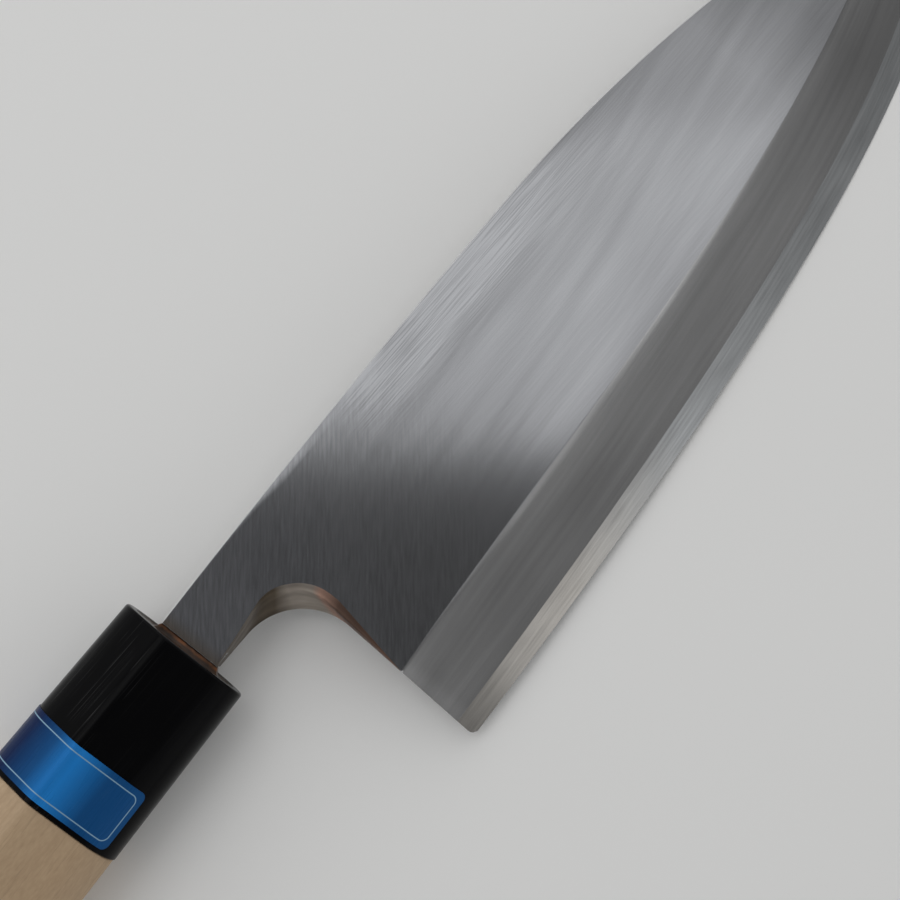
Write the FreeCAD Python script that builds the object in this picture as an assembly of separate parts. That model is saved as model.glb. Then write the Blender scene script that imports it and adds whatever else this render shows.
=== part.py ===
import FreeCAD, Part
import os
from math import acos, asin, atan2, cos, degrees, pi, radians, sin, sqrt, tan

Vector = FreeCAD.Vector

# Right-handed deba knife: a single-bevel blade whose tang is bedded in a wooden handle behind a
# moulded ferrule. Working axes: the origin is where the handle's axis leaves the ferrule's mouth,
# +X runs to the tip, +Y to the spine, +Z out of the bevelled front face. Lengths are millimetres.

# Blade outline
tip_reach = 200.7              # ferrule mouth to the tip
heel_reach = 20.1              # ferrule mouth to the heel, at the bevel line
heel_lean = 2.6                # the heel leans back towards the handle, degrees
heel_depth = 48.8              # handle axis down to the edge at the heel
spine_height = 6.46            # handle axis up to the highest point of the spine
spine_crest = 50.0             # ferrule mouth to that highest point
spine_arch_radius = 2080.0     # the nearly straight stretch of the spine
spine_fall_length = 103.7      # stretch before the tip over which the spine falls
spine_fall_radius = 292.0
edge_heel_angle = 1.25         # slope of the edge at the heel, degrees
edge_tip_angle = 43.7          # slope of the edge at the tip, degrees
edge_heel_pull = 0.707         # curve handles, as shares of the curve's chord
edge_tip_pull = 0.142
heel_corner_height = 1.5       # the blunted heel corner starts this far above the edge
heel_corner_radius = 1.5
heel_corner_angle = 60.0

# Bevel
bevel_width = 17.3             # edge to bevel line, at the heel
bevel_run_out = 10.7           # the bevel line meets the spine this far before the tip
bevel_heel_angle = 3.9         # slopes of the bevel line, degrees
bevel_tip_angle = 22.1
bevel_heel_pull = 0.249        # curve handles, as shares of the curve's chord
bevel_tip_pull = 0.291
edge_band_width = 4.0          # steeper band along the edge, at the heel
edge_band_angle = 22.5

# Blade thickness
neck_thickness = 6.4           # at the spine, where the blade leaves the ferrule
tip_thickness = 2.0            # at the spine, at the tip
face_thinning = 0.8            # the heel is this much thinner at the bevel line than at the spine

# Hollow ground into the back
wheel_radius = 620.0
hollow_spine_rim = 3.0
hollow_edge_rim = 1.6
hollow_heel_rim = 4.0
hollow_tip_rim = 24.0
hollow_stations = (-0.98, -0.9, -0.6, 0.0, 0.6, 0.9, 0.98)    # along the hollow, ends at -1 and 1

# Neck and finger notch
neck_depth = 6.5               # handle axis down to the neck's underside, in the ferrule's mouth
neck_fall = 0.8                # on the back, the underside falls this far by the notch's corner
notch_back_radius = 12.6
notch_front_radius = 6.75
notch_front_shift = 1.0        # the notch's corner is ground further out on the front face
notch_front_rise = 3.1

# Tang
shoulder_reach = 1.2           # ferrule mouth to where the neck steps down to the tang
tang_step = 0.25
tang_length = 90.0             # from the ferrule mouth
tang_end_height = 6.0
tang_end_thickness = 3.0

# Handle and ferrule: one drafted section of arcs, with two flats that meet at a ridge on the front
mouth_height = 25.2            # at the ferrule's mouth
round_radius = 8.0             # spine side and edge side of the section, at the mouth
back_radius = 16.5             # back of the section, at the mouth
ridge_height = 10.5            # handle axis to the ridge before it is rounded, at the mouth
ridge_offset = 3.8             # the ridge lies this far to the spine side of the axis
bore_ridge_radius = 0.8        # the ridge inside the ferrule, at the mouth
handle_length = 138.0          # ferrule mouth to the butt
handle_draft = 1.2             # taper of every side, degrees
grip_step = 0.2                # the wood stands this far under the ferrule
butt_chamfer = 1.2

# Ferrule, bedding and seal
ferrule_length = 35.2
ferrule_wall = 2.2
ferrule_lip = 0.55             # rounding of the mouth's outer edge
glue_line = 0.1                # between tenon and ferrule
tenon_recess = 1.5             # ferrule mouth to the tenon's end
bedding_thickness = 0.8
slot_spare = 3.0               # slot depth past the tang's end
seal_recess = 0.3
seal_collar_width = 1.6        # collar of the seal round the tang, at its foot and its top
seal_collar_top_width = 0.4
seal_collar_reach = 0.6        # the collar stands this far out of the mouth

# Label on the ferrule
label_length = 11.6            # along the handle
label_setback = 0.95           # from the joint with the wood
label_thickness = 0.15
label_bond = 0.02
label_front_margin = 2.4       # from the ferrule's edge side to the label's front end
label_back_wrap = 6.0          # from the ferrule's spine side to the label's back end
label_corner = 1.3

# Overshoot of the solids that cut
clear = 2.0

back_z = -neck_thickness / 2
spine_fall_start = tip_reach - spine_fall_length
thickness_taper = (neck_thickness - tip_thickness) / tip_reach
face_slope = face_thinning / (spine_height + heel_depth - bevel_width)
ridge_radius = bore_ridge_radius + ferrule_wall + glue_line


def line_edge(start, end):
    return Part.LineSegment(start, end).toShape()


def arc_edge(start, middle, end):
    return Part.Arc(start, middle, end).toShape()


def closed_wire(points):
    return Part.makePolygon(points + points[:1])


def solid_inside(faces):
    """Solid enclosed by faces that meet along their edges."""
    skin = Part.makeCompound(faces)
    skin.sewShape()
    shell = skin.Shells[0]
    if Part.makeSolid(shell).Volume < 0:
        shell.reverse()
    return Part.makeSolid(shell)


def spine_y(x):
    """Height of the spine: a long flat arch, then a tighter arc that falls to the tip."""
    arch_centre = spine_height - spine_arch_radius
    if x <= spine_fall_start:
        return arch_centre + sqrt(spine_arch_radius ** 2 - (x - spine_crest) ** 2)
    lean = asin((spine_fall_start - spine_crest) / spine_arch_radius)
    centre_x = spine_fall_start - spine_fall_radius * sin(lean)
    centre_y = arch_centre + (spine_arch_radius - spine_fall_radius) * cos(lean)
    return centre_y + sqrt(spine_fall_radius ** 2 - (x - centre_x) ** 2)


def spine_edge(x_start, x_end):
    """Stretch of the spine between two stations that lie on the same radius."""
    stations = (x_start, (x_start + x_end) / 2, x_end)
    return arc_edge(*[Vector(x, spine_y(x), back_z) for x in stations])


def heel_x(y):
    """The heel's line, which leans back from the bevel line down to the edge."""
    return heel_reach + (y + heel_depth - bevel_width) * tan(radians(heel_lean))


def front_z(x, y):
    """Plane of the front face, which thins towards the tip and towards the edge."""
    return back_z + neck_thickness - thickness_taper * x - face_slope * (spine_height - y)


def curve_poles(start, start_angle, start_pull, end, end_angle, end_pull):
    """Four poles of a curve with the given slopes at its ends."""
    chord = (end - start).Length
    start_way = Vector(cos(radians(start_angle)), sin(radians(start_angle)), 0)
    end_way = Vector(cos(radians(end_angle)), sin(radians(end_angle)), 0)
    return [start, start + start_way * chord * start_pull, end - end_way * chord * end_pull, end]


def between(poles, others, share):
    """Poles that lie the given share of the way from one curve to another."""
    return [pole + (other - pole) * share for pole, other in zip(poles, others)]


def curve(poles, first=0.0, last=1.0):
    """Curve on the poles, cut or run on to the given parameters."""
    result = Part.BezierCurve()
    result.setPoles(poles)
    result.segment(first, last)
    return result


def blade_lines():
    """Poles of the edge, the bevel line and the top of the edge band, on one parameter."""
    heel = Vector(heel_x(-heel_depth), -heel_depth, back_z)
    tip = Vector(tip_reach, spine_y(tip_reach), back_z)
    edge = curve_poles(heel, edge_heel_angle, edge_heel_pull, tip, edge_tip_angle, edge_tip_pull)
    meet = tip_reach - bevel_run_out
    bevel = curve_poles(Vector(heel_reach, bevel_width - heel_depth, 0), bevel_heel_angle, bevel_heel_pull,
                        Vector(meet, spine_y(meet), 0), bevel_tip_angle, bevel_tip_pull)
    bevel = [Vector(pole.x, pole.y, front_z(pole.x, pole.y)) for pole in bevel]
    rise = edge_band_width * tan(radians(edge_band_angle)) / (bevel[0].z - back_z)
    band = between(edge, bevel, edge_band_width / bevel_width)
    band = [Vector(pole.x, pole.y, back_z + rise * (top.z - back_z)) for pole, top in zip(band, bevel)]
    return edge, bevel, band


def grinding(upper, lower, upper_run, lower_run):
    """Solid above the ruled surface through two curves, which runs on past both and past their ends."""
    first = curve(between(upper, lower, -upper_run), -0.02, 1.05).toShape()
    last = curve(between(lower, upper, -lower_run), -0.02, 1.05).toShape()
    return Part.makeRuledSurface(first, last).extrude(Vector(0, 0, 8 * neck_thickness))


def blade_blank(edge, bevel):
    """Plate with the spine's outline, left wide at the edge, at the heel and under the neck."""
    outside = [Vector(pole.x, pole.y, back_z) for pole in between(edge, bevel, -0.25)]
    margin = curve(outside, -0.01, 0.97)
    margin_start = margin.value(0.0)
    nose = Vector(tip_reach + clear, spine_y(tip_reach + clear), back_z)
    under_neck = -neck_depth - notch_back_radius / 2
    corners = [margin_start, Vector(margin_start.x, under_neck, back_z), Vector(shoulder_reach, under_neck, back_z),
               Vector(shoulder_reach, spine_y(shoulder_reach), back_z)]
    edges = [line_edge(start, end) for start, end in zip(corners, corners[1:])]
    edges += [spine_edge(shoulder_reach, spine_fall_start), spine_edge(spine_fall_start, nose.x)]
    edges += [line_edge(nose, margin.value(1.0)), margin.toShape()]
    outline = Part.Wire(Part.__sortEdges__(edges))
    return Part.Face(outline).extrude(Vector(0, 0, neck_thickness + clear))


def front_grinding():
    """Solid above the plane of the front face."""
    xs = (-clear, tip_reach + 2 * clear)
    ys = (-heel_depth - 4 * clear, spine_height + clear)
    corners = [(xs[0], ys[0]), (xs[1], ys[0]), (xs[1], ys[1]), (xs[0], ys[1])]
    points = [Vector(x, y, front_z(x, y)) for x, y in corners]
    return Part.Face(closed_wire(points)).extrude(Vector(0, 0, 8 * neck_thickness))


def notch_wire(z):
    """Outline of the space behind the heel and under the neck, at one level of the blade's thickness."""
    share = (z - back_z) / neck_thickness
    radius = notch_back_radius + share * (notch_front_radius - notch_back_radius)
    neck = Vector(-clear, -neck_depth, z)
    corner_y = -neck_depth - neck_fall
    corner = Vector(heel_x(corner_y) + share * notch_front_shift, corner_y + share * notch_front_rise, z)
    bevel_end = Vector(heel_reach, bevel_width - heel_depth, z)
    to_neck = (neck - corner).normalize()
    to_heel = (bevel_end - corner).normalize()
    half_angle = to_neck.getAngle(to_heel) / 2
    neck_end = corner + to_neck * (radius / tan(half_angle))
    heel_start = corner + to_heel * (radius / tan(half_angle))
    middle = corner + (to_neck + to_heel).normalize() * (radius / sin(half_angle) - radius)

    lean, turn = radians(heel_lean), radians(heel_corner_angle)
    round_y = heel_corner_height - heel_depth
    round_start = Vector(heel_x(round_y), round_y, z)
    round_centre = round_start + Vector(cos(lean), -sin(lean), 0) * heel_corner_radius
    round_points = [round_centre - Vector(cos(lean - angle), sin(angle - lean), 0) * heel_corner_radius
                    for angle in (turn / 2, turn)]
    way_out = round_points[1] + Vector(sin(turn - lean), -cos(turn - lean), 0) * 6 * clear
    below_neck = Vector(neck.x, way_out.y, z)
    return Part.Wire([line_edge(neck, neck_end), arc_edge(neck_end, middle, heel_start),
                      line_edge(heel_start, bevel_end), line_edge(bevel_end, round_start),
                      arc_edge(round_start, *round_points), line_edge(round_points[1], way_out),
                      line_edge(way_out, below_neck), line_edge(below_neck, neck)])


def notch_grinding():
    """The notch's outline changes evenly from the back face to the front face."""
    levels = (back_z - clear, back_z + neck_thickness + clear)
    return Part.makeLoft([notch_wire(z) for z in levels], True, True)


def hollow_grinding(edge):
    """Shallow hollow of the back: arcs of one wheel radius between the rims, narrower near both ends."""
    edge_curve = curve(edge)
    start = heel_reach + hollow_heel_rim
    end = tip_reach - hollow_tip_rim
    sections = []
    for station in hollow_stations:
        x = (start + end) / 2 + station * (end - start) / 2
        upright = Part.LineSegment(Vector(x, spine_height, back_z), Vector(x, -2 * heel_depth, back_z))
        edge_point = edge_curve.intersectCC(upright)[0]
        top = spine_y(x) - hollow_spine_rim
        bottom = edge_point.Y + hollow_edge_rim
        half = (top - bottom) / 2 * sqrt(1 - station ** 6)
        depth = wheel_radius - sqrt(wheel_radius ** 2 - half ** 2)
        middle = Vector(x, (top + bottom) / 2, back_z)
        low, high = middle - Vector(0, half, 0), middle + Vector(0, half, 0)
        under = Vector(0, 0, -clear)
        sections.append(Part.Wire([arc_edge(low, middle + Vector(0, 0, depth), high), line_edge(high, high + under),
                                   line_edge(high + under, low + under), line_edge(low + under, low)]))
    return Part.makeLoft(sections, True, False)


def tang_corners(x, growth):
    """Corners of the tang's rectangle at a station, grown on all sides."""
    share = (shoulder_reach - x) / (shoulder_reach + tang_length)
    neck_front = front_z(shoulder_reach, -neck_depth)
    start = (tang_step - neck_depth, spine_y(shoulder_reach) - tang_step, back_z + tang_step, neck_front - tang_step)
    end = (-tang_end_height / 2, tang_end_height / 2, -tang_end_thickness / 2, tang_end_thickness / 2)
    low_y, high_y, low_z, high_z = [a + share * (b - a) for a, b in zip(start, end)]
    ys = (low_y - growth, high_y + growth)
    zs = (low_z - growth, high_z + growth)
    return [Vector(x, y, z) for y, z in ((ys[0], zs[0]), (ys[1], zs[0]), (ys[1], zs[1]), (ys[0], zs[1]))]


def tang_taper(x_start, x_end, start_growth=0.0, end_growth=0.0):
    """Solid that follows the tang's taper between two stations."""
    first = tang_corners(x_start, start_growth)
    last = tang_corners(x_end, end_growth)
    sides = [[first[i - 1], first[i], last[i], last[i - 1]] for i in range(4)]
    return solid_inside([Part.Face(closed_wire(points)) for points in [first, last] + sides])


def make_blade():
    edge, bevel, band = blade_lines()
    body = blade_blank(edge, bevel)
    for cutter in (notch_grinding(), front_grinding(), grinding(bevel, band, 0.15, 0.8),
                   grinding(band, edge, 0.3, 1.5), hollow_grinding(edge)):
        body = body.cut(cutter)
    return body.fuse(tang_taper(shoulder_reach, -tang_length)).removeSplitter()


def section_arcs():
    """Arcs round the section at the mouth: centre, radius, first and last angle from +Y towards +Z."""
    lift = mouth_height / 2 - round_radius
    back_centre = Vector(0, 0, sqrt((back_radius - round_radius) ** 2 - lift ** 2))
    lean = atan2(back_centre.z, lift)
    ridge = Vector(0, ridge_offset, ridge_height)
    to_upper = ridge - Vector(0, lift, 0)
    to_lower = ridge + Vector(0, lift, 0)
    upper = atan2(to_upper.z, to_upper.y) - acos(round_radius / to_upper.Length)
    lower = atan2(to_lower.z, to_lower.y) + acos(round_radius / to_lower.Length)
    middle = (upper + lower) / 2
    ridge_inset = ridge_radius / cos((lower - upper) / 2)
    ridge_centre = ridge - Vector(0, cos(middle), sin(middle)) * ridge_inset
    return [(Vector(0, lift, 0), round_radius, -lean, upper),
            (ridge_centre, ridge_radius, upper, lower),
            (Vector(0, -lift, 0), round_radius, lower, pi + lean),
            (back_centre, back_radius, pi + lean, 2 * pi - lean)]


def handle_taper(x_start, x_end, inset=0.0):
    """Solid of the drafted section between two stations: cones for its arcs, planes for its flats."""
    def at(arc, angle, x):
        growth = -x * tan(radians(handle_draft)) - inset
        return arc[0] + Vector(x, 0, 0) + Vector(0, cos(angle), sin(angle)) * (arc[1] + growth)

    arcs = section_arcs()
    faces = []
    caps = ([], [])
    for arc, following in zip(arcs, arcs[1:] + arcs[:1]):
        centre, radius, first, last = arc
        side = line_edge(at(arc, first, x_start), at(arc, first, x_end))
        faces.append(side.revolve(centre, Vector(1, 0, 0), degrees(last - first)))
        flat = [at(arc, last, x_start), at(arc, last, x_end), at(following, last, x_end), at(following, last, x_start)]
        has_flat = (flat[0] - flat[3]).Length > 0.001
        if has_flat:
            faces.append(Part.Face(closed_wire(flat)))
        for cap, x in zip(caps, (x_start, x_end)):
            cap.append(arc_edge(at(arc, first, x), at(arc, (first + last) / 2, x), at(arc, last, x)))
            if has_flat:
                cap.append(line_edge(at(arc, last, x), at(following, last, x)))
    faces += [Part.Face(Part.Wire(cap)) for cap in caps]
    return solid_inside(faces)


def rim_edges(shape, x):
    """Outer edges of the flat end that a shape has at one station."""
    ends = [face for face in shape.Faces if abs(face.BoundBox.XMin - x) + abs(face.BoundBox.XMax - x) < 0.01]
    return ends[0].OuterWire.Edges


def make_ferrule():
    ring = handle_taper(0, -ferrule_length).cut(handle_taper(clear, -ferrule_length - clear, ferrule_wall))
    return ring.makeFillet(ferrule_lip, rim_edges(ring, 0))


def make_handle():
    grip = handle_taper(-ferrule_length, -handle_length, grip_step)
    tenon = handle_taper(-tenon_recess, -ferrule_length - clear, ferrule_wall + glue_line)
    slot = tang_taper(0, -tang_length - slot_spare, bedding_thickness, bedding_thickness)
    body = grip.fuse(tenon).removeSplitter().cut(slot)
    return body.makeChamfer(butt_chamfer, rim_edges(body, -handle_length))


def make_tang_bedding():
    slot = tang_taper(-tenon_recess, -tang_length - slot_spare, bedding_thickness, bedding_thickness)
    return slot.cut(tang_taper(shoulder_reach, -tang_length))


def make_mouth_seal():
    plug = handle_taper(-seal_recess, -tenon_recess, ferrule_wall + glue_line)
    collar = tang_taper(seal_collar_reach, -tenon_recess, seal_collar_top_width, seal_collar_width)
    return plug.fuse(collar).removeSplitter().cut(tang_taper(shoulder_reach, -tang_length))


def label_window(low_y, high_y, depth):
    """Block that frames one side of the label, with both corners of its lower end rounded."""
    rear = label_setback - ferrule_length
    front = rear + label_length
    bend = label_corner * (1 - sqrt(0.5))
    low = low_y + label_corner
    points = [Vector(front, low, 0), Vector(front, high_y, 0), Vector(rear, high_y, 0), Vector(rear, low, 0)]
    rear_foot, front_foot = Vector(rear + label_corner, low_y, 0), Vector(front - label_corner, low_y, 0)
    edges = [line_edge(start, end) for start, end in zip(points, points[1:])]
    edges += [arc_edge(points[3], Vector(rear + bend, low_y + bend, 0), rear_foot), line_edge(rear_foot, front_foot),
              arc_edge(front_foot, Vector(front - bend, low_y + bend, 0), points[0])]
    return Part.Face(Part.Wire(edges)).extrude(Vector(0, 0, depth))


def make_label():
    rear = label_setback - ferrule_length - clear
    front = rear + label_length + 2 * clear
    skin = handle_taper(front, rear, -label_bond - label_thickness)
    skin = skin.cut(handle_taper(front + clear, rear - clear, -label_bond))
    half_height = mouth_height / 2 - (front + rear) / 2 * tan(radians(handle_draft))
    room = 2 * half_height
    front_side = label_window(label_front_margin - half_height, room, room)
    back_side = label_window(half_height - label_back_wrap, room, -room)
    return skin.common(front_side.fuse(back_side)).removeSplitter()


def main():
    nodes = {
        "blade": make_blade(),
        "ferrule": make_ferrule(),
        "handle": make_handle(),
        "tang_bedding": make_tang_bedding(),
        "mouth_seal": make_mouth_seal(),
        "label": make_label(),
    }
    # The finished knife stands on the middle of its own box, lowest point at Z = 0.
    box = Part.makeCompound(list(nodes.values())).optimalBoundingBox()
    shift = Vector(-(box.XMin + box.XMax) / 2, -(box.YMin + box.YMax) / 2, -box.ZMin)
    os.makedirs("parts", exist_ok=True)
    for name, shape in nodes.items():
        shape.translate(shift)
        shape.exportStep(f"parts/{name}.step")
        solids = shape.Solids
        print(name, "solids", len(solids), "valid", shape.isValid(), "volume", round(shape.Volume, 2))
    print("mouth at", [round(value, 4) for value in shift])


main()
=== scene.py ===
"""Looks of a right-handed deba knife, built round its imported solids.

The file is laid out as an add-on. Settings hold the sizes and colours, one operator makes each
piece, and main() runs the operators in order. Lengths are metres. Pieces are worked out on the
knife's own axes, whose origin is where the handle's axis leaves the ferrule's mouth: +X runs to
the tip, +Y to the spine and +Z out of the bevelled front face.
"""

from math import acos, asin, atan2, cos, pi, radians, sin, sqrt, tan

import bmesh
import bpy
import numpy as np
from bpy.props import FloatProperty, FloatVectorProperty, IntProperty, PointerProperty
from mathutils import Matrix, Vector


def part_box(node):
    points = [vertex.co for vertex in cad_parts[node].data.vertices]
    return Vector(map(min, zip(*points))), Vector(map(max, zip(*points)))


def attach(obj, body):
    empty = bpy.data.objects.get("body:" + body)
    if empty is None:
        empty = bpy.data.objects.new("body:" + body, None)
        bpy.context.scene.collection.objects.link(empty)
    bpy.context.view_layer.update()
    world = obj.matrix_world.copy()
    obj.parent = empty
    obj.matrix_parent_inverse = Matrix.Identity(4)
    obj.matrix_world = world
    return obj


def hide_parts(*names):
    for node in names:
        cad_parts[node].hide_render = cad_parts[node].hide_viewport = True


bl_info = {
    "name": "Deba Knife",
    "version": (1, 0, 0),
    "blender": (4, 5, 0),
    "location": "View3D > Sidebar > Knife",
    "description": "Builds the pieces, finishes and stage of a deba knife",
    "category": "Add Mesh",
}

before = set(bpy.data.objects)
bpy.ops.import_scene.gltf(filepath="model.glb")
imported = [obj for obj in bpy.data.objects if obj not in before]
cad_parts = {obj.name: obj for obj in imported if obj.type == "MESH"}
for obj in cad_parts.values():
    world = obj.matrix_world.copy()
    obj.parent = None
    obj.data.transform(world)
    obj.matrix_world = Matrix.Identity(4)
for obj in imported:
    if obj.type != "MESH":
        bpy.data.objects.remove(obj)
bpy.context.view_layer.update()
BLADE_BOX, FERRULE_BOX, HANDLE_BOX = (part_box(node) for node in ("blade", "ferrule", "handle"))
BODY = "root"

NECK_THICKNESS = 0.0064
BACK_LEVEL = -NECK_THICKNESS / 2
MOUTH = np.array((FERRULE_BOX[1].x, (FERRULE_BOX[0].y + FERRULE_BOX[1].y) / 2, BLADE_BOX[0].z - BACK_LEVEL))

# Shape of the blade's curves: slopes in degrees, handles as shares of the chord
SPINE_CREST = 0.050
SPINE_ARCH_RADIUS = 2.080
SPINE_FALL_LENGTH = 0.1037
SPINE_FALL_RADIUS = 0.292
EDGE_HEEL, EDGE_TIP = (1.25, 0.707), (43.7, 0.142)
BEVEL_HEEL, BEVEL_TIP = (3.9, 0.249), (22.1, 0.291)
BEVEL_RUN_OUT = 0.0107
# Softening of the bevel line: share of the bevel at the heel, what it gains, from where and over what
LINE_EASE, LINE_EASE_GAIN, LINE_EASE_START, LINE_EASE_RUN = 0.03, 0.08, 0.06, 0.2
BEVEL_HOLLOW_FADE = 8  # The bevel's hollow fades out over the last eighth of the curve
BAND_ANGLE = radians(22.5)
HEEL_LEAN = radians(2.6)
HEEL_CORNER = 0.0015
HEEL_CORNER_TURN = radians(60)
SHOULDER = 0.0012
NECK_START = -0.002
NECK_FALL = 0.0008
NOTCH_BACK_RADIUS = 0.0126
NOTCH_FRONT_RADIUS = 0.00675
NOTCH_FRONT_SHIFT = np.array((0.001, 0.0031))
# Share of the notch's rounding, and lean of the flat's columns, along the notch's outline
NOTCH_SOFTNESS = (0, 0.5, 1.1, 1.5, 1.8, 2.1, 3), (0.1, 0.15, 0.3, 0.4, 0.7, 1, 0)
COLUMN_LEAN = (0, 1, 2, 3), (0, 0.0005, 0.006, 0.013)
BACK_ROUNDING = 0.0002
SPINE_EASE_LENGTH = 0.015
SPINE_BACK_SHARE = 0.6
# Largest shares of a wall's height that its roundings take up
FRONT_SHARE, BACK_SHARE = 0.6, 0.3

# Flat rims round the hollow of the back
HEEL_RIM, TIP_RIM, SPINE_RIM, EDGE_RIM = 0.0035, 0.024, 0.003, 0.0016

# The tang starts inside the neck, a step smaller than it, and narrows to half sizes at its end
TANG_START, TANG_END = 0.004, -0.090
TANG_STEP = 0.00025
TANG_END_HALF = 0.003, 0.0015

# Section of the handle and the ferrule at the mouth
ROUND_RADIUS = 0.008
BACK_RADIUS = 0.0165
RIDGE_HEIGHT = 0.0105
RIDGE_OFFSET = 0.0038
RIDGE_RADIUS = 0.0031

# Small chamfers, roundings and gaps where the pieces meet
BORE_CHAMFER = 0.0003
JOINT_CHAMFER = 0.0002
NOSE_ROUNDING = 0.0003
TENON_GAP = 0.0001
SEAL_GAP = 0.00005
LABEL_GAP = 0.00002
FLOOR_GAP = 0.0001

# Resin in the mouth: its levels, its rise and reach by the tang and the wall, and the height, waves and phase
# of its ripples
SEAL_LEVEL, SEAL_FLOOR = -0.0003, -0.0015
SEAL_TANG_PLACE = -0.0005
TANG_RISE, TANG_RISE_REACH = 0.0014, 0.0007
WALL_RISE, WALL_RISE_REACH = 0.00025, 0.0005
SEAL_RIPPLES = (0.00006, 5, 1), (0.00005, 11, 0)

# Rows and columns of the blade's grids
BEVEL_ROWS, BAND_ROWS, FLAT_ROWS, BACK_ROWS, TANG_ROWS, ROUNDING_ROWS = 14, 9, 25, 49, 12, 7
NECK_COLUMNS, ARC_COLUMNS, HEEL_COLUMNS = 12, 33, 25
LAST_FLAT_ROW = 0.992

# Finishes of the blade, in the order of its materials
FLAT, BEVEL, BAND, WALL, BACK, NOTCH = range(6)

QUARTER = np.linspace(0, pi / 2, 8)
SIDE_MARGIN = 0.001
TINY, SAME_POINT = 1e-9, 1e-7
SHARP_TURN = radians(30)
WELD_STEPS = 2e6  # Steps to the metre: points on the same step are one when grids are joined

# Place along the blade that counts as 1 in its tints, and the range in which noise mostly lies
STEEL_RANGE = 0.2
NOISE_RANGE = 0.36, 0.64

# Ferrule's wear: length over which it fades, and how much paler it is. Growth rings to the metre. Distance
# from the steel of the resin's painted amber glint.
WEAR_FADE, WEAR_LIFT = 0.004, 0.055
RING_RATE = 520.0
AMBER_GLINT_PLACE = 0.0004


def length(name, default, description):
    """Setting in metres."""
    return FloatProperty(name=name, description=description, default=default, min=0.0, unit="LENGTH",
                         precision=5)


def colour(name, default, description):
    """Setting of a colour."""
    return FloatVectorProperty(name=name, description=description, default=default, size=3, min=0.0,
                               max=1.0, subtype="COLOR")


class BladeSettings(bpy.types.PropertyGroup):
    """Sizes and finish of the blade"""
    tip_reach: length("Tip reach", BLADE_BOX[1].x - MOUTH[0], "Ferrule mouth to the tip")
    heel_reach: length("Heel reach", 0.0201, "Ferrule mouth to the heel, at the bevel line")
    heel_depth: length("Heel depth", 0.0488, "Handle axis down to the edge at the heel")
    spine_height: length("Spine height", BLADE_BOX[1].y - MOUTH[1], "Handle axis up to the top of the spine")
    bevel_width: length("Bevel width", 0.0173, "Edge to bevel line at the heel")
    band_width: length("Edge band width", 0.004, "Width of the steeper band along the edge at the heel")
    tip_thickness: length("Tip thickness", 0.002, "Thickness at the spine by the tip")
    face_thinning: length("Face thinning", 0.0008,
                          "How much thinner the heel is at the bevel line than at the spine")
    bevel_hollow: length("Bevel hollow", 0.00006, "Depth of the bevel's slight hollow between its two lines")
    spine_rounding: length("Spine rounding", 0.0002, "Rounding of the spine's corners")
    notch_rounding: length("Notch rounding", 0.0016,
                           "Softened front corner of the finger notch, at its widest by the heel")
    neck_depth: length("Neck depth", 0.0065, "Handle axis down to the neck's underside at the mouth")
    wheel_radius: length("Wheel radius", 0.62, "Radius of the hollow in the back")
    stations: IntProperty(name="Stations", description="Samples along the bevel", default=240, min=40,
                          max=600)
    flat_steel: colour("Flat", (0.59, 0.60, 0.625), "Colour of the flat face")
    # The flat's warm tint by the mouth is partly a stain and partly a painted reflection of the resin.
    stain_and_resin_reflection: colour("Mouth stain", (0.53, 0.45, 0.36), "Tint of the flat where it leaves the resin")
    bevel_steel: colour("Bevel", (0.60, 0.60, 0.603), "Colour of the bevel, the back and the walls")
    # The edge band's tints carry its painted highlight, whose levels are set along the blade.
    heel_edge: colour("Edge at the heel", (1.0, 0.96, 0.90), "Tint of the edge band by the heel")
    tip_edge: colour("Edge at the tip", (0.95, 0.98, 1.0), "Tint of the edge band towards the tip")
    # The notch wall's tints: a painted reflection of the wood, pale and warm, and a dark brown patch below
    # the neck.
    dark_brown_below_neck: colour("Brown film", (0.105, 0.084, 0.062), "Film on the notch's wall below the neck")
    pale_reflection: colour("Pale film", (0.31, 0.275, 0.24), "Film on the notch's wall at the top of its arc")
    warm_reflection: colour("Warm film", (0.12, 0.077, 0.060), "Film on the notch's wall along the heel")


class HandleSettings(bpy.types.PropertyGroup):
    """Sizes and finish of the ferrule, the wood and the resin"""
    mouth_height: length("Mouth height", 0.0252, "Height of the section at the ferrule's mouth")
    draft: FloatProperty(name="Draft", description="Taper of every side", default=radians(1.2),
                         subtype="ANGLE")
    ferrule_length: length("Ferrule length", FERRULE_BOX[1].x - FERRULE_BOX[0].x,
                           "Mouth to the joint with the wood")
    ferrule_wall: length("Ferrule wall", 0.0022, "Thickness of the ferrule's wall")
    lip: length("Lip", 0.00055, "Rounding of the mouth's outer edge")
    handle_length: length("Handle length", MOUTH[0] - HANDLE_BOX[0].x, "Mouth to the butt")
    wood_step: length("Wood step", 0.0002, "The wood stands this far under the ferrule")
    butt_rounding: length("Butt rounding", 0.0012, "Softened edge of the butt")
    black: colour("Ferrule", (0.0028, 0.0028, 0.0032), "Colour of the moulded ferrule")
    pith_offset: length("Pith offset", 0.030, "Handle axis to the tree's pith, up and back alike")
    pale_wood: colour("Pale wood", (0.515, 0.372, 0.234), "Lighter wood between the grain lines")
    dark_wood: colour("Grain", (0.38, 0.262, 0.156), "Grain lines of the wood")
    resin: colour("Resin", (0.030, 0.016, 0.009), "Resin in the mouth and round the tang")
    # Painted glint: the amber line in the resin beside the steel.
    amber_glint: colour("Amber", (0.17, 0.062, 0.02), "Resin where it thins beside the steel")


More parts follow.
